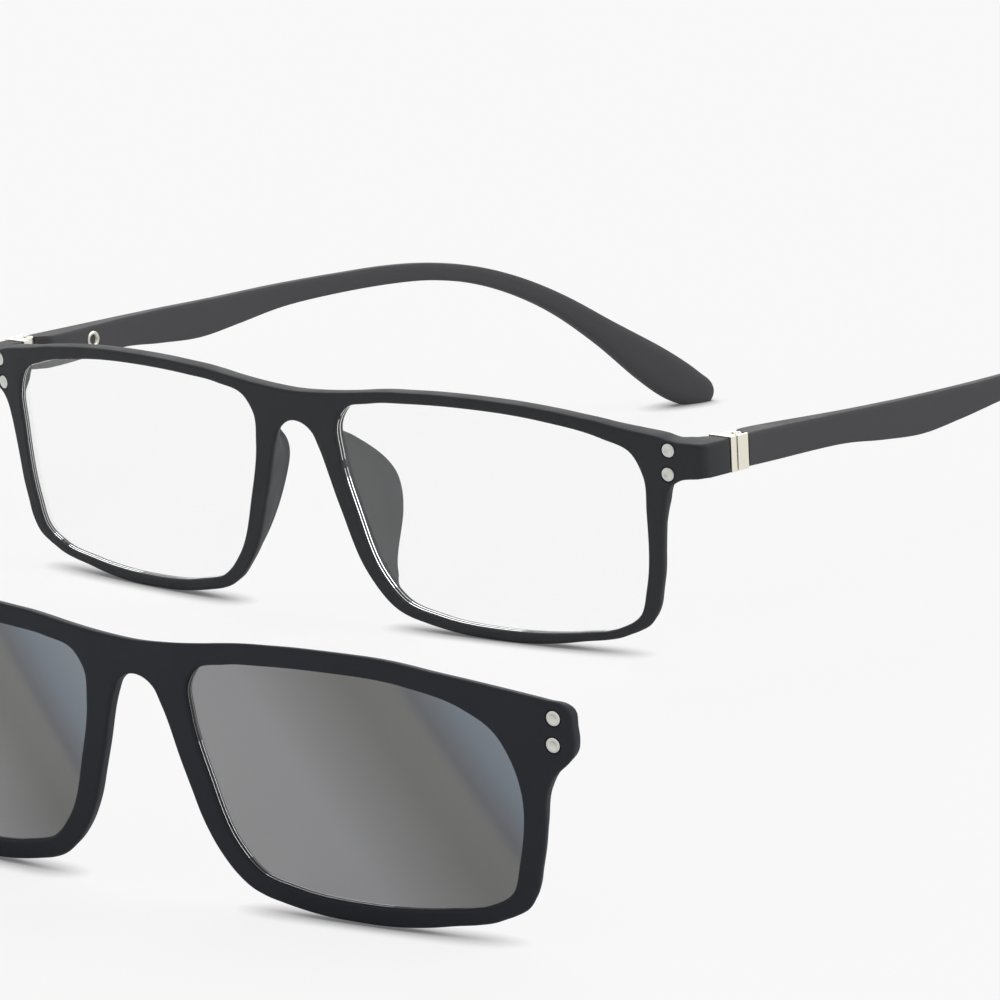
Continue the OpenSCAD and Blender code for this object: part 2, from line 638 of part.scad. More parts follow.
// The rivet holds the leaf's tongue from the temple's inner face
function inner_face(y) = outer_face(y) - lookup(y, [for (row = TEMPLE_ROWS) [row[0], row[3]]]);
rivet_proud = 0.25;
rivet_sunk = 0.5;
rivet_dish = 0.7;
module rivet_disc(x, l, r) {
    translate([x, rivet_y, temple_z + 0.1]) rotate([0, 90, 0]) cylinder(h = l, r = r, $fn = 64);
}
module rivet_shank(grow) {
    from = inner_face(rivet_y);
    rivet_disc(from, pin_x + tongue_t/2 + 0.2 + grow - from, 0.6 + grow);
}
module rivet_ring(grow) {
    rivet_disc(inner_face(rivet_y) - rivet_proud, rivet_proud + rivet_sunk + grow, rivet_d/2 + grow);
}
module temple(side) {
    color(black) mirrored(side) difference() {
        ring_loft(TEMPLE_RINGS);
        temple_tongue(tongue_fit);
        rivet_shank(tongue_fit);
        rivet_ring(tongue_fit);
    }
}
module temple_rivet(side) {
    color(silver) mirrored(side) difference() {
        union() {
            rivet_shank(0);
            rivet_ring(0);
        }
        rivet_disc(inner_face(rivet_y) - 1, 1.2, rivet_dish);
    }
}

// Clip-on front: one rim round both tinted lenses, with a tab past each
// rim that carries the two magnets opposite those of the front
clip_seat = clip_depth/2;
function clip_row(t) =
    let (n = outward(CLIP_OPENING, t),
        extra = clip_inset*(n[1] < -0.3 ? 0.9 : 0.75))
    plain_row(CLIP_OPENING, t, rim_width(n, on_curve(CLIP_OPENING, t)[0]) + extra);
function tab(t, x, v, step) =
    free_row(CLIP_OPENING, t, [magnet_x + x, magnet_z + v], step, step);
CLIP_ROWS = concat(
    [for (t = [1, 1.5, 2, 2.5, 3, 3.33, 3.67, 4]) clip_row(t)],
    [
        tab(4.3, -18.2, 4.5, [-0.1, -1]),
        tab(4.62, -12.7, 3.8, [-0.12, -1]),
        tab(4.95, -7.4, 3.05, [-0.15, -1]),
        tab(5.3, -3.8, 2.5, [-0.15, -1]),
        tab(5.55, -0.8, 2, [-0.2, -1]),
        tab(5.8, 1.8, 1.5, [-0.45, -0.9]),
        tab(6.05, 2.75, 0.7, [-0.9, -0.45]),
        tab(6.35, 3, -1.6, [-1, 0]),
        tab(6.6, 3.05, -3.5, [-1, 0.1]),
        tab(6.85, 2.7, -5, [-0.9, 0.5]),
        tab(7.1, 1.8, -6.15, [-0.6, 0.8]),
        tab(7.35, 0.65, -7.1, [-0.6, 0.8]),
        tab(7.6, -0.5, -8.2, [-0.8, 0.5]),
        tab(7.85, -1.4, -9.7, [-0.95, 0.25])
    ],
    [for (t = [8.2, 8.6, 9, 9.5, 10, 10.35, 10.7, 11, 11.4, 11.8, 12.25, 12.7, 13.2, 13.6,
        14, 14.35, 14.7, 15, 15.5, 16, 16.5, 16.9, 17.3])
        clip_row(t)],
    bridge_rows(CLIP_OPENING, clip_row(1)[2])
);
CLIP_POINTS = [
    for (row = CLIP_ROWS)
        [for (p = section(row, clip_depth, 0, clip_seat, bevel_t + 2*lens_fit))
            clip_point(p[0][0], p[0][1], p[1])]
];
module put_away() {
    translate([clip_away_x, -clip_away_y, 0]) children();
}
module clip_frame() {
    color(black) put_away() difference() {
        welded_front(CLIP_ROWS, CLIP_POINTS);
        for (side = [-1, 1], p = MAGNET_PLACES) mirrored(side)
            on_face(p[0], p[1], -clip_gap - clip_depth)
                disc(magnet_d + 2*magnet_fit, clip_depth + 1, -0.5);
    }
}
module clip_lens(side) {
    from = -clip_gap - clip_depth + clip_seat;
    color(tint) put_away() mirrored(side)
        lens(CLIP_ROWS, from - tint_t/2, tint_t, from - bevel_t/2, bevel_t, clip_lift);
}
module clip_magnet(side, i) {
    p = MAGNET_PLACES[i];
    color(silver) put_away() mirrored(side) on_face(p[0], p[1], -clip_gap - clip_depth)
        magnet(clip_depth + 2*magnet_proud);
}

front_frame();
front_lens(-1);  // lens_left
front_lens(1);  // lens_right
front_magnet(-1, 0);  // front_magnet_left_upper
front_magnet(-1, 1);  // front_magnet_left_lower
front_magnet(1, 0);  // front_magnet_right_upper
front_magnet(1, 1);  // front_magnet_right_lower
hinge_front_leaf(-1);  // hinge_front_leaf_left
hinge_front_leaf(1);  // hinge_front_leaf_right
hinge_screw(-1);  // hinge_screw_left
hinge_screw(1);  // hinge_screw_right
hinge_temple_leaf(-1);  // hinge_temple_leaf_left
hinge_temple_leaf(1);  // hinge_temple_leaf_right
temple(-1);  // temple_left
temple(1);  // temple_right
temple_rivet(-1);  // temple_rivet_left
temple_rivet(1);  // temple_rivet_right
clip_frame();
clip_lens(-1);  // clip_lens_left
clip_lens(1);  // clip_lens_right
clip_magnet(-1, 0);  // clip_magnet_left_upper
clip_magnet(-1, 1);  // clip_magnet_left_lower
clip_magnet(1, 0);  // clip_magnet_right_upper
clip_magnet(1, 1);  // clip_magnet_right_lower
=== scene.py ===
# %% [markdown]
# # Eyeglasses with a clip-on front
# The real object is a full-rim pair of eyeglasses, moulded in dark nylon, with a second, tinted front
# that small magnets hold on. Here the clip-on is off and stands in front of the pair.
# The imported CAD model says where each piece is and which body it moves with. This lesson builds finer
# meshes over it, gives each surface the material of the real one, and sets up a small studio.

from collections import namedtuple
from math import asin, atan2, ceil, copysign, cos, floor, pi, radians, sin, sqrt, tan

import bmesh
import bpy
from mathutils import Matrix, Vector


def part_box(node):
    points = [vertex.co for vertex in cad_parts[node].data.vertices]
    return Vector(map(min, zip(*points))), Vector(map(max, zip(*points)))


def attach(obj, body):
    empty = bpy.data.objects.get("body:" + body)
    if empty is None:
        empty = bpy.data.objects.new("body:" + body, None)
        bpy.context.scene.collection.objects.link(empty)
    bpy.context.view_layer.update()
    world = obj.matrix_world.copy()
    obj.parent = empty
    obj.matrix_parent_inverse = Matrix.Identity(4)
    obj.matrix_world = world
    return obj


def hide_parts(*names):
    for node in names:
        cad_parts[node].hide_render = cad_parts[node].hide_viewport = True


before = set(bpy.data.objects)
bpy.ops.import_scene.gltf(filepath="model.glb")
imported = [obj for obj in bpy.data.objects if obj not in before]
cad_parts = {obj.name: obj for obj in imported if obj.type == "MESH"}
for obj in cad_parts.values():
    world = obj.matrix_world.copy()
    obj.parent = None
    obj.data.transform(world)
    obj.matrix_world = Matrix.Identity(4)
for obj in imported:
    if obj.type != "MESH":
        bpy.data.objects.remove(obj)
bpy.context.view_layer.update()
MM = 0.001

# %% [markdown]
# ## Camera
# The photograph was taken from the front right and a little above, with a long lens: the two sides of
# the front stay nearly parallel. A camera is placed either by turning it towards a target or, as here,
# by its own three directions. That also takes the camera's small roll.

# %% Place the camera
azimuth = radians(43.02)
elevation = radians(11.79)
roll = radians(-2.6)
camera_place = Vector((979.8, -1009.7, 309.4))*MM

ahead = Vector((-sin(azimuth)*cos(elevation), cos(azimuth)*cos(elevation), -sin(elevation)))
level = Vector((cos(azimuth), sin(azimuth), 0))
above = level.cross(ahead)
right = cos(roll)*level + sin(roll)*above
up = cos(roll)*above - sin(roll)*level

camera = bpy.data.objects.new("camera", bpy.data.cameras.new("camera"))
camera.data.lens = 360
camera.data.sensor_width = 36
camera.data.clip_start = 0.05
camera.data.clip_end = 60
camera.matrix_world = Matrix.Translation(camera_place) @ Matrix((right, up, -ahead)).transposed().to_4x4()
bpy.context.scene.collection.objects.link(camera)
bpy.context.scene.camera = camera
print("camera", round(camera_place.length, 3), "m from the origin")

# %% [markdown]
# ## Curves shared by the front and the clip-on
# Both fronts are drawn as a designer would draw them: a closed curve for the lens opening, through a few
# points, and a rim of a chosen width round it. The Hermite form passes through every point
# and its slope there follows the two neighbours, so twenty points are enough for a smooth opening.

# %% Draw smooth curves through points
def mix(a, b, k):
    return a + (b - a)*k


def clamp(k):
    return min(max(k, 0), 1)


def ease(k):
    c = clamp(k)
    return c*c*(3 - 2*c)


def lookup(x, table):
    """Straight lines between (x, value) pairs, level past both ends"""
    if x <= table[0][0]:
        return table[0][1]
    for (x0, v0), (x1, v1) in zip(table, table[1:]):
        if x <= x1:
            return mix(v0, v1, (x - x0)/(x1 - x0))
    return table[-1][1]


def hermite(a, b, leave, arrive, k):
    h = (b - a).length
    return ((2*k**3 - 3*k**2 + 1)*a + (k**3 - 2*k**2 + k)*h*leave
            + (3*k**2 - 2*k**3)*b + (k**3 - k**2)*h*arrive)


def heading(before, here, after):
    """Direction at a point from its neighbours; the nearer one counts for more"""
    a = here - before
    b = after - here
    return (a.normalized()*b.length + b.normalized()*a.length)/(a.length + b.length)


def on_curve(points, t):
    i = floor(t)
    p = [points[(i + j) % len(points)] for j in (-1, 0, 1, 2)]
    return hermite(p[1], p[2], heading(*p[:3]), heading(*p[1:]), t - i)


def outward(points, t):
    """The way out of a closed curve that runs clockwise, square to it"""
    d = on_curve(points, t + 0.02) - on_curve(points, t - 0.02)
    return Vector((-d.y, d.x)).normalized()


sample = [Vector(p) for p in ((-1, 1), (1, 1), (1, -1), (-1, -1))]
print("a curve through the corners of a square bulges", round(on_curve(sample, 0.5).y - 1, 2), "past it")


# %% Name the sizes of the front, in millimetres
lens_w = 53.15
lens_h = 31.9
bridge_gap = 16.9
face_r = 343
lean = radians(4.66)
rim_top = 2.05
rim_brow = 2.5
rim_bottom = 1.65
rim_foot_end = 1.2
rim_side = 2.5
rim_nose = 3.3
rim_nose_low = 2.65
rim_depth = 2.4
bridge_depth = 2.5
rim_draft = 0.4
side_depth = 2.1
edge_r = 0.38
bridge_h = 4.85
brow_dip = 1.2
arch_r = 4.35
pad_depth = 7.1
pad_edge = 1.05
pad_flare = 2.4
pad_up = 9.6
pad_down = 16
end_reach = 10.3
end_h = 4.95
end_depth = 4.3
end_wall = 4.1
corner_r = 1.6
inner_r = 0.8
end_y = 10.85
groove = 0.6
lens_fit = 0.06
bevel_t = 0.8
clip_depth = 2
clip_gap = 0.3
clip_inset = 1
clip_lift = 0.3
clip_away = Vector((96, -128, 0))

lens_x = (bridge_gap + lens_w)/2
outer_x = lens_x + lens_w/2
side_x = outer_x + end_reach
rim_foot = -tan(lean)*(face_r - sqrt(face_r**2 - lens_x**2))
# The opening's lower edge sags this far below its nominal height
outline_sag = 0.55
lens_z = rim_foot + rim_bottom + outline_sag + lens_h/2
lens_top = lens_z + lens_h/2
end_bottom = lens_top - 7.25
end_top = end_bottom + end_h

# Lens opening in halves of its width and height, clockwise from the upper corner at the nose
OUTLINE = [
    (-0.95, 0.858), (-0.745, 0.952), (-0.5, 0.983), (-0.16, 0.995), (0.39, 0.94),
    (0.77, 0.82), (0.935, 0.71), (1, 0.5), (1, 0.18), (0.957, -0.52),
    (0.9, -0.785), (0.755, -0.92), (0.5, -0.992), (0.02, -1.035), (-0.42, -0.975),
    (-0.655, -0.865), (-0.785, -0.645), (-0.925, -0.075), (-1.005, 0.45), (-1.007, 0.72),
]
# The clip-on's upper outer corner is rounder
CLIP_CORNER = {5: (0.71, 0.80), 6: (0.88, 0.62), 7: (0.965, 0.38)}


def opening(outline, inset):
    return [Vector((lens_x + x*(lens_w/2 - inset), lens_z + z*(lens_h/2 - inset))) for x, z in outline]


frame_opening = opening(OUTLINE, 0)
clip_opening = opening([CLIP_CORNER.get(i, p) for i, p in enumerate(OUTLINE)], clip_inset)
print("lens opening", lens_w, "by", lens_h, "mm, width over the front", round(2*side_x, 1), "mm")

# %% [markdown]
# ## The front as a bent sheet
# A moulded front is a flat drawing that was bent: it curves round the face, turns a tight corner at each
# end and runs back to the hinge. So each point is given as a distance along the sheet, a height and a
# share of the thickness, and one function bends it into place. The whole front leans forward a little.

# %% Bend the sheet
def leaned(x, y, z):
    """A point of the upright drawing after the front leans forward"""
    return Vector((x, y*cos(lean) - z*sin(lean), y*sin(lean) + z*cos(lean)))


def arc_turn(x):
    return asin(x/face_r)


def on_arc(x, depth):
    a = arc_turn(x)
    return Vector((x - depth*sin(a), face_r*(1 - cos(a)) + depth*cos(a)))


def behind(x, depth):
    """A place behind the face: the walls round an opening run straight back"""
    return Vector((x, face_r*(1 - cos(arc_turn(x))) + depth/cos(arc_turn(x))))


def bend_length(x, r):
    return r*(pi/2 - arc_turn(x))


def plan(s, corner, depth, r):
    """The front seen from above: an arc, a soft corner of radius r, then a straight side"""
    a = arc_turn(corner)
    start = behind(corner, depth)
    if s <= corner:
        return behind(s, depth)
    if s <= corner + bend_length(corner, r):
        b = a + (s - corner)/r
        return start + r*Vector((sin(b) - sin(a), cos(a) - cos(b)))
    return start + r*Vector((1 - sin(a), cos(a))) + Vector((0, s - corner - bend_length(corner, r)))


inner_x = side_x - end_wall
bend_a = side_x - corner_r*(1 - side_x/face_r)
bend_c = bend_a + bend_length(bend_a, corner_r)
bend_b = (bend_a + bend_c)/2
bend_ia = inner_x - inner_r*(1 - inner_x/face_r)
bend_ic = bend_ia + bend_length(bend_ia, inner_r)
# The sheet keeps the rim's thickness until a little past its outer side
rim_keep = 0.45
keep_x = outer_x + rim_side + rim_keep


def rear_y(v):
    return (end_y + sin(lean)*v)/cos(lean)


def rear_s(v):
    return bend_c + rear_y(v) - plan(bend_c, bend_a, 0, corner_r).y


def rear_inner_s(v):
    return bend_ic + rear_y(v) - plan(bend_ic, bend_ia, end_depth, inner_r).y


# The thickness is even between these two places. Further out it swells, from just below the end
# piece upwards, and has part of the swelling where the rim ends
even_from = 20
even_to = outer_x - 10
swell_below = 1.8
swell_h = 2.6
swell_share = 0.35


def depth_at(s, v):
    swell = ease((v - end_bottom + swell_below)/swell_h)
    return lookup(s, [
        (0, bridge_depth), (even_from, rim_depth), (even_to, rim_depth),
        (keep_x, mix(side_depth, mix(rim_depth, end_depth, swell_share), swell)),
        (bend_ia, mix(side_depth, end_depth, swell))])


def inside_s(s, v):
    return lookup(s, [(0, 0), (keep_x, keep_x), (bend_a, bend_ia), (bend_c, bend_ic),
                      (rear_s(v), rear_inner_s(v))])


def frame_place(s, v, share):
    i = inside_s(s, v)
    p = mix(plan(s, bend_a, 0, corner_r), plan(i, bend_ia, depth_at(i, v), inner_r), share)
    return leaned(p.x, p.y, v)


def clip_place(s, v, share):
    p = behind(s, -clip_gap - clip_depth*(1 - share))
    return leaned(p.x, p.y, v + clip_lift)


print("the corner turns between", round(bend_a, 2), "and", round(bend_c, 2), "mm along the sheet")

# %% [markdown]
# ## Rows round the rim
# The rim is a loft: cross-sections stand side by side all the way round an opening. Most rows follow a
# rim width. The end piece, the arch under the bridge and the brow line need outer points of their own,
# and those are set one by one. Between the chosen rows, fine rows are spaced closely, more closely where
# the sheet turns its corner, because a smooth highlight shows every facet.

# %% Give a row the rim's width
Row = namedtuple("Row", "t q step draft corner")
# Where the bottom and the nose side start to change their width, from the lens's middle, and over
# what length
foot_start = 4
foot_taper = 14
nose_start = -13
nose_taper = 22


def rim_width(n, p):
    """The brow gets wider and the bottom narrower towards the ends; the nose side narrows downwards"""
    brow = mix(rim_top, rim_brow, ease((p.x - lens_x)*2/lens_w))
    bottom = mix(rim_bottom, rim_foot_end, ease((p.x - lens_x - foot_start)/foot_taper))
    nose = mix(rim_nose_low, rim_nose, ease((p.y - lens_z - nose_start)/nose_taper))
    return n.x**2*(rim_side if n.x > 0 else nose) + n.y**2*(brow if n.y > 0 else bottom)


def plain_row(curve, t, extra=0, fall=0):
    """A row of the rim's width. fall lowers the brow's front edge: its top face slopes forward"""
    n = outward(curve, t)
    start = on_curve(curve, t)
    down = Vector((0, fall*max(n.y, 0)**2))
    q = start + (rim_width(n, start) + extra)*n - down
    square = Vector((max(n.x, 0)*side_depth*q.x/face_r, 0))
    return Row(t, q, -edge_r*n, -rim_draft*n - square + down, False)


def free_row(t, q, step, draft=(0, 0), corner=False):
    return Row(t, Vector(q), edge_r*Vector(step), rim_draft*Vector(draft), corner)


print("rim", rim_top, "to", rim_brow, "mm wide at the brow,", rim_side, "mm at the side")

# %% Draw the bridge
def brow(start, k):
    return start.x*k, start.y - brow_dip + brow_dip*k**1.6


brow_start = on_curve(frame_opening, 1) + rim_top*outward(frame_opening, 1)
arch_z = brow_start.y - brow_dip - bridge_h - arch_r


def arch(degrees):
    return arch_r*sin(radians(degrees)), arch_z + arch_r*cos(radians(degrees))


def bridge_rows(start, fall=0):
    top = start.y - brow_dip
    rows = [
        free_row(17.95, arch(75), (0.9, -0.1), (0.7, 0)),
        free_row(18.3, arch(50), (0.8, 0.6), (0.4, 0.2)),
        free_row(18.65, arch(25), (0.4, 0.9), (0.1, 0.1)),
        free_row(18.95, arch(0), (0, 1)),
        free_row(19.25, (0, top - bridge_h*0.68), (0, 0)),
        free_row(19.5, (0, top - bridge_h*0.34), (0, 0))]
    return rows + [free_row(t, Vector(brow(start, k)) - Vector((0, fall)), (0, -1), (0, fall/rim_draft - 1))
                   for t, k in ((19.8, 0), (20.15, 0.3), (20.45, 0.58), (20.75, 0.82))]


print("bridge", bridge_h, "mm high over an arch of", arch_r, "mm radius")

# %% Set out the rows of the front
def level_height(z, s):
    return (z - sin(lean)*plan(s, bend_a, 0, corner_r).y)/cos(lean)


def end_row(t, s, z, step):
    return free_row(t, (s, level_height(z, s)), step)


def rear_row(t, z, step, corner=False):
    v = z*cos(lean) - end_y*sin(lean)
    return free_row(t, (rear_s(v), v), step, corner=corner)


BROW = [1, 1.5, 2, 2.5, 3, 3.33, 3.67, 4]
UNDERSIDE = [8.5, 8.75, 9, 9.5, 10, 10.35, 10.7, 11, 11.4, 11.8, 12.25, 12.7,
             13.2, 13.6, 14, 14.35, 14.7, 15]
brow_fall = 0.42
# Place, extra width and fall where the brow widens into the end piece
BROW_END = ((4.85, 0.12, 0.35), (5.1, 0.3, 0.38))
# The fillet under the end piece turns about this far out
fillet_out = 1.35
fillet_x = outer_x + rim_side + fillet_out
frame_rows = (
    [plain_row(frame_opening, t, 0, brow_fall) for t in BROW + [4.3, 4.6]]
    + [plain_row(frame_opening, t, extra, fall) for t, extra, fall in BROW_END]
    + [
        free_row(5.4, (outer_x - 1.2, level_height(end_top + 1.3, outer_x)), (0, -1)),
        free_row(5.6, (outer_x + 2.6, level_height(end_top + 0.72, outer_x)), (0, -1)),
        end_row(5.75, outer_x + 6, end_top + 0.05, (0, -1)),
        end_row(5.85, bend_a, end_top, (0, -1)),
        end_row(5.92, bend_b, end_top, (0, -1)),
        end_row(6, bend_c, end_top, (0, -1)),
        rear_row(6.08, end_top, (-1, -1), corner=True),
        rear_row(6.2, end_top - end_h/2, (-1, 0)),
        rear_row(6.34, end_bottom, (-1, 1), corner=True),
        end_row(6.46, bend_c, end_bottom, (0, 1)),
        end_row(6.56, bend_b, end_bottom, (0, 1)),
        end_row(6.68, bend_a, end_bottom - 0.15, (0, 1)),
        end_row(6.95, fillet_x + 2.1, end_bottom - 0.65, (-0.3, 1)),
        end_row(7.2, fillet_x + 0.75, end_bottom - 1.5, (-0.7, 0.7)),
        free_row(7.5, (fillet_x - 0.05, level_height(end_bottom - 2.75, fillet_x)), (-0.9, 0.4), (-0.6, 0)),
        free_row(7.75, (fillet_x - 0.6, level_height(end_bottom - 4.7, outer_x)), (-1, 0.1), (-1.3, 0)),
        free_row(8.1, (fillet_x - 1.05, level_height(end_bottom - 7.2, outer_x)), (-1, 0), (-2, 0))]
    + [plain_row(frame_opening, t)
       for t in UNDERSIDE + [15.3, 15.65, 16, 16.33, 16.67, 17, 17.35, 17.65]]
    + bridge_rows(brow_start, brow_fall*0.8))
print(len(frame_rows), "chosen rows on the front")

# %% Set out the rows of the clip-on
magnet_x = outer_x + 4.6
magnet_z = lens_top - 3.85


def tab_row(t, x, z, step):
    return free_row(t, (magnet_x + x, magnet_z + z), step, step)


# The shares of its inset that the clip-on's rim covers, below and elsewhere
cover_below = 0.9
cover = 0.75


def clip_row(t):
    below = outward(clip_opening, t).y < -0.3
    return plain_row(clip_opening, t, clip_inset*(cover_below if below else cover))


clip_rows = (
    [clip_row(t) for t in BROW]
    + [
        tab_row(4.3, -18.2, 4.5, (-0.1, -1)),
        tab_row(4.62, -12.7, 3.8, (-0.12, -1)),
        tab_row(4.95, -7.4, 3.05, (-0.15, -1)),
        tab_row(5.3, -3.8, 2.5, (-0.15, -1)),
        tab_row(5.55, -0.8, 2, (-0.2, -1)),
        tab_row(5.8, 1.8, 1.5, (-0.45, -0.9)),
        tab_row(6.05, 2.75, 0.7, (-0.9, -0.45)),
        tab_row(6.35, 3, -1.6, (-1, 0)),
        tab_row(6.6, 3.05, -3.5, (-1, 0.1)),
        tab_row(6.85, 2.7, -5, (-0.9, 0.5)),
        tab_row(7.1, 1.8, -6.15, (-0.6, 0.8)),
        tab_row(7.35, 0.65, -7.1, (-0.6, 0.8)),
        tab_row(7.6, -0.5, -8.2, (-0.8, 0.5)),
        tab_row(7.85, -1.4, -9.7, (-0.95, 0.25))]
    + [clip_row(t) for t in UNDERSIDE + [15.5, 16, 16.5, 16.9, 17.3]]
    + bridge_rows(clip_row(1).q))
print(len(clip_rows), "chosen rows on the clip-on")

# %% Space fine rows between the chosen ones
FINE = 0.6
BEND_FINE = 0.22
BEND_MARGIN = 0.3


def line_direction(rows, i, towards):
    """Direction of the outer line at row i, on the side of the next row or of the one before"""
    here = rows[i % len(rows)].q
    other = rows[(i + towards) % len(rows)].q
    chord = (other - here)*towards
    if here.x == 0 and other.x > 0:
        return Vector((copysign(1, chord.x), 0))
    if here.x == 0 or rows[i % len(rows)].corner:
        return chord.normalized()
    return heading(rows[i - 1].q, here, rows[(i + 1) % len(rows)].q)


def refine(rows, curve):
    fine = []
    for i, row in enumerate(rows):
        after = rows[(i + 1) % len(rows)]
        last_t = after.t if after.t > row.t else after.t + len(curve)
        in_bend = (bend_a - BEND_MARGIN < max(row.q.x, after.q.x)
                   and min(row.q.x, after.q.x) < bend_c + BEND_MARGIN)
        run = max((after.q - row.q).length, (on_curve(curve, last_t) - on_curve(curve, row.t)).length)
        count = max(2, ceil(run/(BEND_FINE if in_bend and curve is frame_opening else FINE)))
        leave = line_direction(rows, i, 1)
        arrive = line_direction(rows, i + 1, -1)
        for k in (j/count for j in range(count)):
            fine.append(Row(
                mix(row.t, last_t, k), hermite(row.q, after.q, leave, arrive, k),
                mix(row.step, after.step, k), mix(row.draft, after.draft, k), False))
    return fine


for word, rows, curve in (("front", frame_rows, frame_opening), ("clip-on", clip_rows, clip_opening)):
    print(len(refine(rows, curve)), "fine rows round each opening of the", word)

# %% [markdown]
# ## The cross-section
# Going round it: the front face between two rounded edges, the outer wall, the back face, and the wall
# of the opening with its groove for the lens. On the nose side the back face swells into a fin, which is
# the nose pad. The fin is a curve through a few chosen points, blended with the plain back.

# %% Draw one cross-section
EDGE = 3
FACE = 12
pad_z = lens_z + 1.1
# How fast the fin fades downwards, and how far it has to stand out to be drawn in full
pad_fade = 1.6
pad_full = 1.5
# The fin starts this far from the opening, and these are the drops from its tip to its outer side,
# to its rounded top and to its inner side
pad_start = 0.6
pad_side = 1.62
pad_round = 0.22
pad_heel = 0.45


def pad_height(place, n):
    k = (place.y - pad_z)/pad_up if place.y > pad_z else (pad_z - place.y)/pad_down
    if n.x > -0.5 or k >= 1:
        return 0
    return pad_depth*cos(pi/2*k)**(1 if place.y > pad_z else pad_fade)


def spread(a, b):
    """Shares of the way from a to b across a face, packed more closely where the sheet turns"""
    if b.x <= bend_a or b.x - a.x < 0.01:
        return [i/FACE for i in range(1, FACE)]
    pack = 6
    turn = bend_c - bend_a
    end = b.x + (pack - 1)*(min(b.x, bend_c) - bend_a)
    shares = []
    for i in range(1, FACE):
        w = mix(a.x, end, i/FACE)
        if w > bend_a:
            w = bend_a + (w - bend_a)/pack if w < bend_a + pack*turn else w - (pack - 1)*turn
        shares.append((w - a.x)/(b.x - a.x))
    return shares


def resample(knots, count):
    """count places between the ends of a smooth line, closer together where its knots are closer"""
    ends = [0]
    for a, b in zip(knots, knots[1:]):
        ends.append(ends[-1] + sqrt((b - a).length))
    directions = [knots[1] - knots[0]] + [b - a for a, b in zip(knots, knots[2:])]
    directions = [d.normalized() for d in directions + [knots[-1] - knots[-2]]]
    places = []
    for j in range(1, count + 1):
        w = ends[-1]*j/(count + 1)
        i = max(k for k in range(len(knots) - 1) if ends[k] <= w)
        k = (w - ends[i])/(ends[i + 1] - ends[i])
        places.append(hermite(knots[i], knots[i + 1], directions[i], directions[i + 1], k))
    return places


def section(curve, row, depth, pad, seat):
    o = on_curve(curve, row.t)
    n = outward(curve, row.t)
    a = o + edge_r*n
    b = row.q + row.step
    r = edge_r/depth
    rear_q = row.q + row.draft
    rear_b = b + row.draft

    def edge(wall, face, back, onto_face):
        turns = [pi/2*i/EDGE for i in range(EDGE + 1)]
        turns = turns if onto_face else turns[::-1]
        return [(mix(wall, face, 1 - cos(u)), abs(back - r*(1 - sin(u)))) for u in turns]

    shares = spread(a, b)
    rear = edge(rear_q, rear_b, 1, True) + [(mix(a, rear_b, m), 1) for m in shares[::-1]]
    if pad > 0:
        width = (row.q - o).length
        inside = pad_start - pad_flare*pad/pad_depth
        tip = depth + pad
        knots = [
            (row.q, edge_r), (o + mix(width, inside + pad_edge, 0.6)*n, mix(edge_r, tip, 0.5)),
            (o + (inside + pad_edge)*n, tip - pad_side), (o + (inside + pad_edge*0.4)*n, tip - pad_round),
            (o + inside*n, tip - pad_heel), (o + mix(inside, edge_r, 0.55)*n, mix(depth, tip, 0.5)),
            (a, depth)]
        fin = resample([Vector((p.x, p.y, d)) for p, d in knots], len(rear))
        k = clamp(pad/pad_full)
        rear = [(mix(p, f.xy, k), mix(d, f.z/depth, k)) for (p, d), f in zip(rear, fin)]
    lip = (bevel_t/2 + lens_fit)/depth
    mid = seat/depth
    slot = [(o, mid + lip), (o + groove*n, mid + lip), (o + groove*n, mid - lip), (o, mid - lip)]
    return (edge(o, a, 0, True) + [(mix(a, b, m), 0) for m in shares] + edge(row.q, b, 0, False)
            + rear + edge(o, a, 1, False) + slot)


first_section = section(frame_opening, frame_rows[0], rim_depth, 0, side_depth/2)
print("a cross-section has", len(first_section), "points")

# %% Turn rows into a welded mesh
def to_object(name, mesh_data, sharp=50):
    """Close, smooth and link a mesh that was built in millimetres"""
    bmesh.ops.scale(mesh_data, vec=(MM, MM, MM), verts=mesh_data.verts)
    bmesh.ops.remove_doubles(mesh_data, verts=mesh_data.verts, dist=1e-7)
    bmesh.ops.recalc_face_normals(mesh_data, faces=mesh_data.faces)
    mesh = bpy.data.meshes.new(name)
    mesh_data.to_mesh(mesh)
    mesh_data.free()
    mesh.shade_smooth()
    mesh.set_sharp_from_angle(angle=radians(sharp))
    piece = bpy.data.objects.new(name, mesh)
    bpy.context.scene.collection.objects.link(piece)
    return piece


def welded_front(name, curve, rows, place, depth_of, pad_of, seat, away=Vector((0, 0, 0))):
    sections = []
    for row in refine(rows, curve):
        o = on_curve(curve, row.t)
        shape = section(curve, row, depth_of(o), pad_of(o, outward(curve, row.t)), seat)
        sections.append([place(p.x, p.y, share) for p, share in shape])
    made = bmesh.new()
    for side in (1, -1):
        grid = [[made.verts.new(Vector((side*p.x, p.y, p.z)) + away) for p in ring] for ring in sections]
        middle = [[abs(p.x) < 1e-6 for p in ring] for ring in sections]
        for i in range(len(grid)):
            for j in range(len(grid[0])):
                i2 = (i + 1) % len(grid)
                j2 = (j + 1) % len(grid[0])
                # Inside the bridge the two halves meet without a wall
                if not (middle[i][j] and middle[i][j2] and middle[i2][j] and middle[i2][j2]):
                    made.faces.new((grid[i][j], grid[i][j2], grid[i2][j2], grid[i2][j]))
    return to_object(name, made)


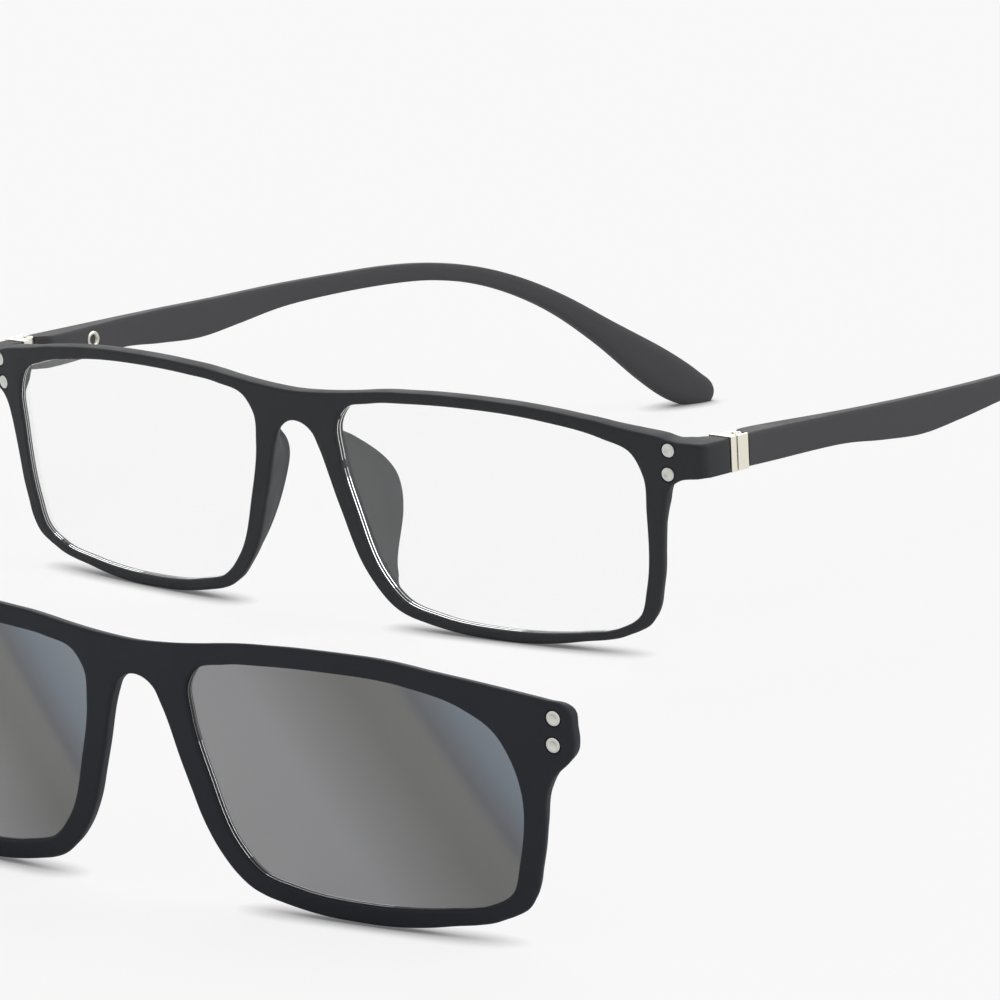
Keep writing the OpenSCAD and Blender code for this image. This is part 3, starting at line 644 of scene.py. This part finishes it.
front = welded_front(
    "moulded_front", frame_opening, frame_rows, frame_place,
    lambda p: depth_at(p.x, p.y), pad_height, side_depth/2)
clip = welded_front(
    "moulded_clip", clip_opening, clip_rows, clip_place,
    lambda p: clip_depth, lambda p, n: 0, clip_depth/2, clip_away)
for piece, node in ((front, "front_frame"), (clip, "clip_frame")):
    corners = [piece.matrix_world @ Vector(c) for c in piece.bound_box]
    print(piece.name, len(piece.data.polygons), "faces, from",
          [round(min(c[i] for c in corners)/MM, 2) for i in range(3)],
          "to", [round(max(c[i] for c in corners)/MM, 2) for i in range(3)],
          "CAD", [[round(v/MM, 2) for v in corner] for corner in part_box(node)])

# %% [markdown]
# ## Magnets and their pockets
# Each magnet is a small plated disc, pressed into a pocket so that its face is level with the plastic.
# Pocket and disc share one turned shape: a profile spun round the magnet's axis. The pocket's mouth is
# slightly wider than the disc, as the mould's pin leaves it, and that gap reads as a dark ring: real
# shade in the gap, with painted shade from the nylon's darkened edges round it.

# %% Turn a profile at a place on the face
magnet_r = 1
magnet_l = 1.5
magnet_proud = 0.03
dish_r = 0.55
dish_depth = 0.08
dish_slope = 0.08
magnet_edge = 0.1
MAGNET_PLACES = {"upper": (magnet_x, magnet_z), "lower": (magnet_x - 0.4, magnet_z - 3.5)}
TURN_STEPS = 48


def turned(made, profile, place, side=1, away=Vector((0, 0, 0))):
    """Spin (radius, depth) pairs round the Y axis of a place; a radius of 0 closes the end"""
    rings = []
    for radius, depth in profile:
        angles = [0] if radius == 0 else [2*pi*i/TURN_STEPS for i in range(TURN_STEPS)]
        points = [place @ Vector((radius*cos(a), depth, radius*sin(a))) for a in angles]
        rings.append([made.verts.new(Vector((side*p.x, p.y, p.z)) + away) for p in points])
    for ring, after in zip(rings, rings[1:]):
        for i in range(TURN_STEPS):
            corners = [ring[i % len(ring)], ring[(i + 1) % len(ring)],
                       after[(i + 1) % len(after)], after[i % len(after)]]
            made.faces.new(list(dict.fromkeys(corners)))


def face_place(x, z, depth):
    """Place and directions on the front's face, with Y pointing in"""
    p = on_arc(x, depth)
    return (Matrix.Translation(leaned(p.x, p.y, z))
            @ Matrix.Rotation(lean, 4, "X") @ Matrix.Rotation(arc_turn(x), 4, "Z"))


print("the face has turned", round(arc_turn(magnet_x)*180/pi, 1), "degrees where the magnets sit")

# %% Cut the pockets
pocket_gap = 0.06
mouth_gap = 0.16
mouth_depth = 0.14
cut_past = 0.5


def cut_pockets(piece, length, depth, away=Vector((0, 0, 0))):
    """Cut a pocket for each magnet; its mouth is chamfered"""
    mouth = [(0, -cut_past), (magnet_r + mouth_gap, -cut_past), (magnet_r + mouth_gap, 0),
             (magnet_r + pocket_gap, mouth_depth), (magnet_r + pocket_gap, length), (0, length)]
    made = bmesh.new()
    for side in (1, -1):
        for x, z in MAGNET_PLACES.values():
            turned(made, mouth, face_place(x, z, depth), side, away)
    cutter = to_object("pocket_cutter", made)
    modifier = piece.modifiers.new("pockets", "BOOLEAN")
    modifier.operation = "DIFFERENCE"
    modifier.solver = "EXACT"
    modifier.object = cutter
    shape = piece.evaluated_get(bpy.context.evaluated_depsgraph_get())
    mesh = bpy.data.meshes.new_from_object(shape)
    piece.modifiers.clear()
    piece.data = mesh
    mesh.shade_smooth()
    mesh.set_sharp_from_angle(angle=radians(50))
    bpy.data.objects.remove(cutter)


clip_face = -clip_gap - clip_depth
cut_pockets(front, magnet_l + pocket_gap, 0)
cut_pockets(clip, clip_depth + cut_past, clip_face, clip_away)
print(2*len(MAGNET_PLACES), "pockets in each front")

# %% Set the magnets
def magnet(name, where, side, length, depth, away=Vector((0, 0, 0))):
    top = -magnet_proud
    profile = [
        (0, top + dish_depth), (dish_r - dish_slope, top + dish_depth), (dish_r, top + 0.02),
        (dish_r + 0.06, top), (magnet_r - magnet_edge, top),
        (magnet_r - magnet_edge*0.3, top + magnet_edge*0.3), (magnet_r, top + magnet_edge),
        (magnet_r, length - magnet_edge), (magnet_r - magnet_edge, length), (0, length)]
    made = bmesh.new()
    turned(made, profile, face_place(*MAGNET_PLACES[where], depth), side, away)
    return to_object(name, made, 60)


magnets = []
for word, side in (("right", 1), ("left", -1)):
    for where in MAGNET_PLACES:
        piece = magnet(f"magnet_{word}_{where}", where, side, magnet_l, 0)
        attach(piece, "front")
        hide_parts(f"front_magnet_{word}_{where}")
        opposite = magnet(f"tab_magnet_{word}_{where}", where, side, clip_depth + magnet_proud,
                          clip_face, clip_away)
        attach(opposite, "clip_on")
        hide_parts(f"clip_magnet_{word}_{where}")
        magnets += [piece, opposite]
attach(front, "front")
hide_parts("front_frame")
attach(clip, "clip_on")
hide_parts("clip_frame")
print(len(magnets), "magnets")

# %% [markdown]
# ## Lenses
# A lens is cut from a curved sheet and carries a bevel all round, which sits in the rim's groove. A grid
# of rings from the middle to the outline keeps the curved surface clean, because a reflection in glass
# shows every uneven facet. The bevel and the back follow from the same outline.

# %% Build the lenses
LENS_STEPS = 200
LENS_RINGS = (0.25, 0.5, 0.7, 0.85, 0.95, 1)
# The bevel's outer face takes up this part of its thickness
BEVEL_FLAT = (0.2, 0.8)


def lens_mesh(name, curve, front_at, thickness, bevel_at, lift, side, away=Vector((0, 0, 0))):
    middle = Vector((lens_x, lens_z))
    places = [len(curve)*i/LENS_STEPS for i in range(LENS_STEPS)]
    edge = [on_curve(curve, t) - lens_fit*outward(curve, t) for t in places]
    rim = [on_curve(curve, t) + (groove - lens_fit)*outward(curve, t) for t in places]
    back_at = front_at + thickness
    ends = [([mix(middle, p, k) for p in edge], front_at) for k in LENS_RINGS]
    ends += [(edge, bevel_at), (rim, bevel_at + bevel_t*BEVEL_FLAT[0]),
             (rim, bevel_at + bevel_t*BEVEL_FLAT[1]), (edge, bevel_at + bevel_t)]
    ends += [([mix(middle, p, k) for p in edge], back_at) for k in LENS_RINGS[::-1]]

    def place(p, depth):
        y = face_r - sqrt((face_r - depth)**2 - p.x**2)
        q = leaned(p.x, y, p.y + lift)
        return Vector((side*q.x, q.y, q.z)) + away

    made = bmesh.new()
    rings = [[made.verts.new(place(p, depth)) for p in line] for line, depth in ends]
    for ring, after in zip(rings, rings[1:]):
        for i in range(LENS_STEPS):
            made.faces.new((ring[i - 1], ring[i], after[i], after[i - 1]))
    for ring, depth in ((rings[0], front_at), (rings[-1], back_at)):
        centre = made.verts.new(place(middle, depth))
        for i in range(LENS_STEPS):
            made.faces.new((ring[i - 1], ring[i], centre))
    return to_object(name, made, 30)


lens_t = 1.2
tint_t = 1.1
seat = side_depth/2
clip_seat = clip_face + clip_depth/2
clear_lenses = []
tinted_lenses = []
for word, side in (("right", 1), ("left", -1)):
    clear = lens_mesh(f"clear_lens_{word}", frame_opening, seat - lens_t/2, lens_t,
                      seat - bevel_t/2, 0, side)
    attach(clear, "front")
    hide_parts(f"lens_{word}")
    clear_lenses.append(clear)
    tinted = lens_mesh(f"tinted_lens_{word}", clip_opening, clip_seat - tint_t/2, tint_t,
                       clip_seat - bevel_t/2, clip_lift, side, clip_away)
    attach(tinted, "clip_on")
    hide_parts(f"clip_lens_{word}")
    tinted_lenses.append(tinted)
print("lenses", lens_t, "and", tint_t, "mm thick")

# %% [markdown]
# ## Temples
# A temple is one moulding: a square block at the hinge, a belly, a thin blade over the ear and a flat
# paddle behind it. A loft suits it, with rings that turn from a rounded square to an oval. The ring is a
# superellipse: one number makes it more or less square.

# %% Name the sizes of the temples, in millimetres
knuckle_r = 1.25
hinge_gap = 0.12
temple_l = 135.6
temple_h = 4.85
belly_h = 5.6
blade_h = 3.4
ear_h = 2.75
tip_h = 6.4
temple_t = 4
blade_t = 1.9
tip_t = 2.7
tip_in = 17.5
tip_r = 3.3
# The temple bows outwards behind the hinge, then curls in behind the ear
bow_out = 0.9
bow_l = 36
curl_from = 62
curl_power = 1.8
# Its inner side is cut back next to the hinge
relief = 1.35
relief_l = 2.2
pin_y = end_y + 2.45
temple_y = pin_y + knuckle_r + hinge_gap
temple_z = end_bottom + end_h/2 + 0.1
back_y = pin_y + temple_l
print("hinge pin", round(pin_y, 2), "mm behind the bridge's face, temples", round(temple_z, 2), "mm up")

# %% Set out the rows of a temple
# Place along it, height of its middle, height and thickness
temple_rows = [Vector(row) for row in (
    (temple_y, temple_z, temple_h, temple_t),
    (20, temple_z - 0.1, temple_h, temple_t),
    (34, temple_z - 0.35, temple_h - 0.3, mix(temple_t, blade_t, 0.75)),
    (43, temple_z - 0.95, mix(temple_h, belly_h, 0.5), blade_t + 0.1),
    (51.5, temple_z - 1.4, belly_h, blade_t),
    (60, temple_z - 1.15, mix(belly_h, blade_h, 0.38), blade_t),
    (70, temple_z - 0.7, blade_h + 0.2, blade_t),
    (81, temple_z - 0.7, blade_h - 0.3, blade_t),
    (91.5, temple_z - 0.95, ear_h + 0.2, blade_t),
    (99.7, temple_z - 1.7, ear_h, blade_t + 0.1),
    (107.6, temple_z - 3.4, ear_h, blade_t + 0.2),
    (115.3, temple_z - 6.3, ear_h + 0.2, blade_t + 0.3),
    (122.8, temple_z - 10.4, ear_h + 0.6, mix(blade_t, tip_t, 0.6)),
    (130.4, temple_z - 15.9, mix(ear_h, tip_h, 0.42), tip_t),
    (137.6, temple_z - 21.55, tip_h - 0.3, tip_t),
    (142.3, temple_z - 25.2, tip_h, tip_t),
    (145.6, temple_z - 27.3, tip_h - 1, tip_t - 0.3))]
last_row = len(temple_rows) - 1


def outer_face(y):
    curl = clamp((y - curl_from)/(back_y - curl_from))**curl_power
    return side_x + bow_out*ease((y - pin_y)/bow_l) - tip_in*curl


def temple_at(t):
    i = min(floor(t), last_row - 1)
    k = t - i
    a, b, c, d = (temple_rows[min(max(i + j, 0), last_row)] for j in (-1, 0, 1, 2))
    return 0.5*(2*b + (c - a)*k + (2*a - 5*b + 4*c - d)*k**2 + (3*b - a - 3*c + d)*k**3)


def pitch(t):
    """How far a ring is tipped, so that it stands square to the temple's line"""
    d = temple_at(min(t + 0.05, last_row)) - temple_at(max(t - 0.05, 0))
    return atan2(d.y, d.x)*ease(t/0.5)


print("the outer faces are", round(2*outer_face(pin_y + bow_l), 1), "mm apart at the widest place")

# %% Loft the temples
TEMPLE_RING = 40
TEMPLE_STEPS = 8
# How square a ring is at the block, along the blade and at the tip; 2 would be an oval
block_square = 8
blade_square = 3
tip_square = 2.6
# After this share of the rows the block's squareness is gone
blade_at = 0.625
# The broken edge of the block: distance from its end and share of the full size
BLOCK_EDGE = ((0, 0.93), (0.05, 0.98), (0.18, 1))
TIP_DEGREES = (12, 24, 36, 48, 59, 69, 78, 85)


def temple_ring(row, slope, square, on=0, shrink=1):
    """One rounded ring; on moves it along the temple, and no point goes below the table"""
    ring = []
    for i in range(TEMPLE_RING):
        a = 2*pi*(i + 0.5)/TEMPLE_RING
        wide = copysign(abs(cos(a))**(2/square), cos(a))
        high = copysign(abs(sin(a))**(2/square), sin(a))*row[2]/2*shrink
        y = row[0] - high*sin(slope) + on*cos(slope)
        z = row[1] + high*cos(slope) + on*sin(slope)
        x = outer_face(y) - row[3]/2 + wide*row[3]/2*shrink
        # The relief lets the temple turn past the end piece
        x += max(-wide, 0)*relief*(1 - ease((y - temple_y)/relief_l))
        ring.append(Vector((x, y, max(z, 0))))
    return ring


def temple_mesh(name, side):
    rings = [temple_ring(temple_rows[0], 0, block_square, on, shrink) for on, shrink in BLOCK_EDGE]
    for i in range(1, last_row*TEMPLE_STEPS + 1):
        t = i/TEMPLE_STEPS
        square = mix(block_square, blade_square, ease(t/(last_row*blade_at)))
        rings.append(temple_ring(temple_at(t), pitch(t), square))
    for a in (radians(degrees) for degrees in TIP_DEGREES):
        rings.append(temple_ring(temple_rows[-1], pitch(last_row), tip_square, tip_r*sin(a), cos(a)))
    made = bmesh.new()
    grid = [[made.verts.new((side*p.x, p.y, p.z)) for p in ring] for ring in rings]
    for ring, after in zip(grid, grid[1:]):
        for i in range(TEMPLE_RING):
            made.faces.new((ring[i - 1], ring[i], after[i], after[i - 1]))
    for ring in (grid[0], grid[-1]):
        centre = made.verts.new(sum((v.co for v in ring), Vector())/TEMPLE_RING)
        for i in range(TEMPLE_RING):
            made.faces.new((ring[i - 1], ring[i], centre))
    return to_object(name, made, 45)


temples = []
for word, side in (("right", 1), ("left", -1)):
    piece = temple_mesh(f"moulded_temple_{word}", side)
    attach(piece, f"temple_arm_{word}")
    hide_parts(f"temple_{word}")
    temples.append(piece)
print("temples", round(back_y - temple_y, 1), "mm long behind the hinge")

# %% [markdown]
# ## Hinge and rivet
# The hinge is stamped and turned from nickel silver, so its edges are slightly broken, never sharp. The
# CAD solids have the right shape; a copy of each mesh with a narrow bevel catches the light along its
# edges. The rivet on the temple's inner face is a turned ring with a sunk middle.

# %% Break the edges of the hinge
broken_w = 0.06


def broken_edges(node, name, width):
    """A copy of a CAD node's mesh with flat faces joined and its sharp edges bevelled"""
    made = bmesh.new()
    made.from_mesh(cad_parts[node].data)
    bmesh.ops.remove_doubles(made, verts=made.verts, dist=1e-6)
    bmesh.ops.dissolve_limit(made, angle_limit=radians(2), verts=made.verts, edges=made.edges)
    bmesh.ops.scale(made, vec=(1/MM, 1/MM, 1/MM), verts=made.verts)
    piece = to_object(name, made, 30)
    bevel = piece.modifiers.new("broken edges", "BEVEL")
    bevel.width = width*MM
    bevel.segments = 2
    bevel.limit_method = "ANGLE"
    bevel.angle_limit = radians(40)
    bevel.harden_normals = True
    return piece


hinge_pieces = []
screws = []
for word in ("right", "left"):
    for node, name, body in ((f"hinge_front_leaf_{word}", f"end_leaf_{word}", "front"),
                             (f"hinge_temple_leaf_{word}", f"temple_leaf_{word}", f"temple_arm_{word}"),
                             (f"hinge_screw_{word}", f"screw_{word}", "front")):
        piece = broken_edges(node, name, broken_w)
        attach(piece, body)
        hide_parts(node)
        (screws if "screw" in name else hinge_pieces).append(piece)
print(len(hinge_pieces), "hinge leaves and", len(screws), "screws")

# %% Turn the rivets
rivet_r = 1.3
rivet_dish = 0.7
rivet_proud = 0.25
rivet_back = 13
shank_r = 0.6
shank_l = 1.6
head_l = 0.5
rivet_y = pin_y + rivet_back
rivets = []


def inner_face(y):
    return outer_face(y) - lookup(y, [(row[0], row[3]) for row in temple_rows])


for word, side in (("right", 1), ("left", -1)):
    place = (Matrix.Translation((inner_face(rivet_y), rivet_y, temple_z + 0.1))
             @ Matrix.Rotation(-pi/2, 4, "Z"))
    profile = [
        (0, 0.2), (rivet_dish - 0.12, 0.2), (rivet_dish, 0.05), (rivet_dish + 0.05, -rivet_proud + 0.07),
        (rivet_dish + 0.16, -rivet_proud), (rivet_r - 0.14, -rivet_proud + 0.02),
        (rivet_r - 0.03, -rivet_proud + 0.1), (rivet_r, -rivet_proud + 0.2), (rivet_r, head_l),
        (shank_r, head_l), (shank_r, shank_l), (0, shank_l)]
    made = bmesh.new()
    turned(made, profile, place, side)
    piece = to_object(f"rivet_{word}", made, 60)
    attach(piece, f"temple_arm_{word}")
    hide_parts(f"temple_rivet_{word}")
    rivets.append(piece)
print("rivets at", [round(v, 1) for v in (inner_face(rivet_y), rivet_y, temple_z)], "mm")

# %% [markdown]
# ## Colours and nodes
# Colours are picked as sRGB hex values, as on a swatch, but a shader works with linear light, so one
# function turns them. A second one adds a node with its settings and links in one go.

# %% Two helpers for materials
def linear(swatch):
    channels = [int(swatch[i:i + 2], 16)/255 for i in (1, 3, 5)]
    return [c/12.92 if c <= 0.04045 else ((c + 0.055)/1.055)**2.4 for c in channels] + [1]


def add(tree, kind, inputs=None, **settings):
    """Add a node. inputs maps a socket's name or number to a value, or to the output linked to it"""
    node = tree.nodes.new(kind)
    for setting, value in settings.items():
        setattr(node, setting, value)
    for socket, value in (inputs or {}).items():
        if isinstance(value, bpy.types.NodeSocket):
            tree.links.new(value, node.inputs[socket])
        else:
            node.inputs[socket].default_value = value
    return node


def new_material(name):
    made = bpy.data.materials.new(name)
    made.use_nodes = True
    made.node_tree.nodes.clear()
    return made, made.node_tree


def dress(pieces, made):
    for piece in pieces:
        piece.data.materials.clear()
        piece.data.materials.append(made)


print("mid grey", [round(c, 3) for c in linear("#808080")])

# %% [markdown]
# ## Moulded nylon
# Light sports-style fronts and temples are injected in polyamide 12, a tough nylon, against a mould that
# was roughened by spark erosion. The skin is almost black and satin: a fine grain breaks the highlight
# and some places are a little smoother. Along the part's edges and in its creases, round the magnet
# pockets too, the colour is darkened to thin dark lines: that is painted shade. A picture could show all
# this, but noise in object space needs no unwrapping and fits every curve.

# %% Make the nylon
satin_roughness = 0.55


def moulded_nylon(name, skin, painted_edge_shade):
    made, tree = new_material(name)
    place = add(tree, "ShaderNodeTexCoord").outputs["Object"]
    # Spark erosion leaves pits of about 0.05 mm; drawn at 0.16 mm, so that they show
    grain = add(tree, "ShaderNodeTexNoise", {"Vector": place, "Scale": 1/(0.16*MM), "Detail": 2})
    # The polish of the mould changes over some 6 mm
    cloud = add(tree, "ShaderNodeTexNoise", {"Vector": place, "Scale": 1/(6*MM), "Detail": 3})
    # An edge is where the mean direction of the surface within 0.3 mm differs from the one at the point
    mean = add(tree, "ShaderNodeBevel", {"Radius": 0.3*MM}, samples=8)
    here = add(tree, "ShaderNodeNewGeometry")
    agree = add(tree, "ShaderNodeVectorMath", {
        0: mean.outputs["Normal"], 1: here.outputs["Normal"]}, operation="DOT_PRODUCT")
    edge = add(tree, "ShaderNodeMapRange", {
        "Value": agree.outputs["Value"], "From Min": 0.98, "From Max": 0.86, "To Min": 0, "To Max": 0.8})
    # The edge mask darkens the skin towards the second swatch: painted shade along edges and in creases
    colour = add(tree, "ShaderNodeMix", {
        0: edge.outputs["Result"], 6: linear(skin), 7: linear(painted_edge_shade)}, data_type="RGBA")
    satin = add(tree, "ShaderNodeMapRange", {
        "Value": cloud.outputs["Fac"], "From Min": 0.3, "From Max": 0.7,
        "To Min": satin_roughness - 0.05, "To Max": satin_roughness + 0.05})
    bump = add(tree, "ShaderNodeBump", {
        "Height": grain.outputs["Fac"], "Strength": 0.15, "Distance": 0.02*MM})
    surface = add(tree, "ShaderNodeBsdfPrincipled", {
        "Base Color": colour.outputs[2], "Roughness": satin.outputs["Result"],
        "Normal": bump.outputs["Normal"], "IOR": 1.5, "Specular IOR Level": 0.12})
    add(tree, "ShaderNodeOutputMaterial", {"Surface": surface.outputs["BSDF"]})
    return made


# Each second swatch is the painted shade along the plastic's edges and creases
dress([front], moulded_nylon("moulded_nylon_front", "#353638", "#0b0b0c"))
# The temples' skin and edge swatches are lighter than the front's: painted light, for the side lamp on
# their faces
dress(temples, moulded_nylon("moulded_nylon_temple_painted_light", "#444446", "#161617"))
dress([clip], moulded_nylon("moulded_nylon_clip", "#2a2d32", "#0b0b0c"))
print("nylon on", 2 + len(temples), "pieces")

# %% [markdown]
# ## Nickel silver, nickel plate and steel
# Nickel silver is a pale, faintly yellow alloy. Stamping and tumbling leave fine marks along the part, so
# the highlight is drawn out. Magnets are nickel plated in a barrel, which leaves them satin and a little
# warm. The screw is turned from stainless steel. All three are metals: their colour is that of their
# reflections.

# %% Make the metals
def brushed_metal(name, face, roughness, mark_mm, stretch):
    made, tree = new_material(name)
    place = add(tree, "ShaderNodeTexCoord").outputs["Object"]
    drawn = add(tree, "ShaderNodeMapping", {"Vector": place, "Scale": stretch})
    marks = add(tree, "ShaderNodeTexNoise", {
        "Vector": drawn.outputs["Vector"], "Scale": 1/(mark_mm*MM), "Detail": 3})
    dull = add(tree, "ShaderNodeMapRange", {
        "Value": marks.outputs["Fac"], "From Min": 0.3, "From Max": 0.7,
        "To Min": roughness - 0.07, "To Max": roughness + 0.07})
    bump = add(tree, "ShaderNodeBump", {
        "Height": marks.outputs["Fac"], "Strength": 0.15, "Distance": 0.01*MM})
    surface = add(tree, "ShaderNodeBsdfPrincipled", {
        "Base Color": linear(face), "Metallic": 1, "Roughness": dull.outputs["Result"],
        "Normal": bump.outputs["Normal"]})
    add(tree, "ShaderNodeOutputMaterial", {"Surface": surface.outputs["BSDF"]})
    return made


dress(hinge_pieces, brushed_metal("nickel_silver", "#ebe7d8", 0.3, 0.12, (1, 1, 0.1)))
dress(rivets, brushed_metal("nickel_silver_rivet", "#cfccc0", 0.3, 0.1, (1, 1, 1)))
dress(screws, brushed_metal("stainless_steel", "#cfcecb", 0.26, 0.1, (1, 1, 1)))
dress(magnets, brushed_metal("nickel_plate", "#d3d3ce", 0.34, 0.15, (1, 1, 1)))
print("metal on", len(hinge_pieces + rivets + screws + magnets), "pieces")

# %% [markdown]
# ## Lens materials
# The clear lens is cast resin with a refractive index of about 1.5: it bends light a little at its edge
# and reflects a few per cent. The tinted one is a polarising sheet between two clear skins: it takes
# away most of the light, so what lies behind looks grey. Over that grey, a ramp over the lens's own
# coordinates paints a reflection: across the lens it gets darker and warmer, then turns bluish at a soft
# slanting step, and pales again. A path tracer lets little lamp light through glass, so for shadow
# rays both materials are mixed with a plain see-through shader.

# %% Make the lens materials
# Stops of the tint's grey with a painted reflection across it
TINT_WITH_PAINTED_REFLECTION = ((0, "#8a8a8b"), (0.4, "#858587"), (0.52, "#757575"), (0.64, "#666664"), (0.735, "#686866"),
              (0.765, "#5a5b60"), (0.84, "#69727b"), (0.92, "#757c84"))


def tint_with_painted_reflection(tree, swatches):
    """Tint with a painted reflection, from the lens's low corner at one end to its high corner at the other
    """
    place = add(tree, "ShaderNodeTexCoord").outputs["Generated"]
    slant = add(tree, "ShaderNodeVectorMath", {0: place, 1: (0.7, 0, 0.3)}, operation="DOT_PRODUCT")
    ramp = add(tree, "ShaderNodeValToRGB", {"Fac": slant.outputs["Value"]})
    stops = ramp.color_ramp.elements
    while len(stops) < len(swatches):
        stops.new(0.5)
    for stop, (position, swatch) in zip(stops, swatches):
        stop.position = position
        stop.color = linear(swatch)
    return ramp.outputs["Color"]


def lens_material(name, body, shade):
    """body is one swatch, or the stops of a tint with a painted reflection"""
    made, tree = new_material(name)
    surface = add(tree, "ShaderNodeBsdfPrincipled", {
        "Base Color": linear(body) if isinstance(body, str) else tint_with_painted_reflection(tree, body),
        "Roughness": 0, "IOR": 1.5, "Transmission Weight": 1})
    through = add(tree, "ShaderNodeBsdfTransparent", {"Color": linear(shade)})
    ray = add(tree, "ShaderNodeLightPath")
    both = add(tree, "ShaderNodeMixShader", {
        0: ray.outputs["Is Shadow Ray"], 1: surface.outputs["BSDF"], 2: through.outputs["BSDF"]})
    add(tree, "ShaderNodeOutputMaterial", {"Surface": both.outputs["Shader"]})
    return made


dress(clear_lenses, lens_material("cast_resin", "#fdfdfd", "#fbfbfb"))
dress(tinted_lenses, lens_material("polarising_sheet", TINT_WITH_PAINTED_REFLECTION, "#8a8b8e"))
print("clear resin on", len(clear_lenses), "lenses and tint on", len(tinted_lenses))

# %% [markdown]
# ## Studio
# The scene is a white table under soft, even light, with a short dark shadow just under the rims. A
# pale floor, an even world and two wide lamps, from behind on both sides, light it. What the camera sees
# of the table is mostly an even pale grey; close to whatever stands on it, an ambient occlusion node
# darkens that grey, a painted shadow that draws most of the short shadow under the rims. The world that
# the camera, mirrors and glass see has that grey too, while the one that lights the object is plainer,
# so that a colour renders about as it is written.

# %% Lay the table
BACKGROUND = "#f7f7f7"
reach = 6000
made = bmesh.new()
corners = [made.verts.new((x*reach, y*reach, 0)) for x, y in ((-1, -1), (1, -1), (1, 1), (-1, 1))]
made.faces.new(corners)
floor_piece = to_object("floor", made)

table_top, tree = new_material("white_table")
surface = add(tree, "ShaderNodeBsdfPrincipled", {
    "Base Color": linear(BACKGROUND), "Roughness": 0.9, "Specular IOR Level": 0.0})
# The camera sees most of the table as an even glow; close under the object an ambient occlusion node
# darkens it: painted shadow
glow_share = 0.9
painted_contact_shadow = add(tree, "ShaderNodeAmbientOcclusion", {"Distance": 4.5*MM}, samples=16)
shade = add(tree, "ShaderNodeMapRange", {
    "Value": painted_contact_shadow.outputs["AO"], "From Min": 0.4, "From Max": 0.92, "To Min": 0.15, "To Max": 1.02})
glow = add(tree, "ShaderNodeEmission", {"Color": linear(BACKGROUND), "Strength": shade.outputs["Result"]})
ray = add(tree, "ShaderNodeLightPath")
seen = add(tree, "ShaderNodeMath", {0: ray.outputs["Is Camera Ray"], 1: ray.outputs["Is Transmission Ray"]},
           operation="MAXIMUM")
part = add(tree, "ShaderNodeMath", {0: seen.outputs[0], 1: glow_share}, operation="MULTIPLY")
both = add(tree, "ShaderNodeMixShader", {
    0: part.outputs[0], 1: surface.outputs["BSDF"], 2: glow.outputs["Emission"]})
add(tree, "ShaderNodeOutputMaterial", {"Surface": both.outputs["Shader"]})
floor_piece.data.materials.append(table_top)
print("table", 2*reach*MM, "m wide")

# %% Fill the world with light
world_strength = 0.5
world = bpy.data.worlds.new("studio")
bpy.context.scene.world = world
world.use_nodes = True
tree = world.node_tree
tree.nodes.clear()
ray = add(tree, "ShaderNodeLightPath")
seen = add(tree, "ShaderNodeMath", {0: ray.outputs["Is Camera Ray"], 1: ray.outputs["Is Glossy Ray"]},
           operation="MAXIMUM")
seen = add(tree, "ShaderNodeMath", {0: seen.outputs[0], 1: ray.outputs["Is Transmission Ray"]},
           operation="MAXIMUM")
light = add(tree, "ShaderNodeBackground", {"Color": (1, 1, 1, 1), "Strength": world_strength})
pale = add(tree, "ShaderNodeBackground", {"Color": linear(BACKGROUND), "Strength": 1})
both = add(tree, "ShaderNodeMixShader", {
    0: seen.outputs[0], 1: light.outputs["Background"], 2: pale.outputs["Background"]})
add(tree, "ShaderNodeOutputWorld", {"Surface": both.outputs["Shader"]})
print("the world lights at", world_strength)

# %% Set two wide lamps
def wide_light(name, towards, strength, degrees):
    """A lamp so far away that it lights all places alike; the angle makes its shadows soft"""
    lamp = bpy.data.lights.new(name, "SUN")
    lamp.energy = strength
    lamp.angle = radians(degrees)
    holder = bpy.data.objects.new(name, lamp)
    holder.location = Vector(towards)*0.5
    holder.rotation_euler = Vector(towards).to_track_quat("Z", "Y").to_euler()
    bpy.context.scene.collection.objects.link(holder)


wide_light("side_light", (0.7, 0.45, 0.55), 1.5, 50)
wide_light("back_light", (-0.5, 0.6, 0.6), 0.9, 40)
bpy.context.scene.view_settings.view_transform = "Standard"
print("lamps:", [thing.name for thing in bpy.context.scene.objects if thing.type == "LIGHT"])
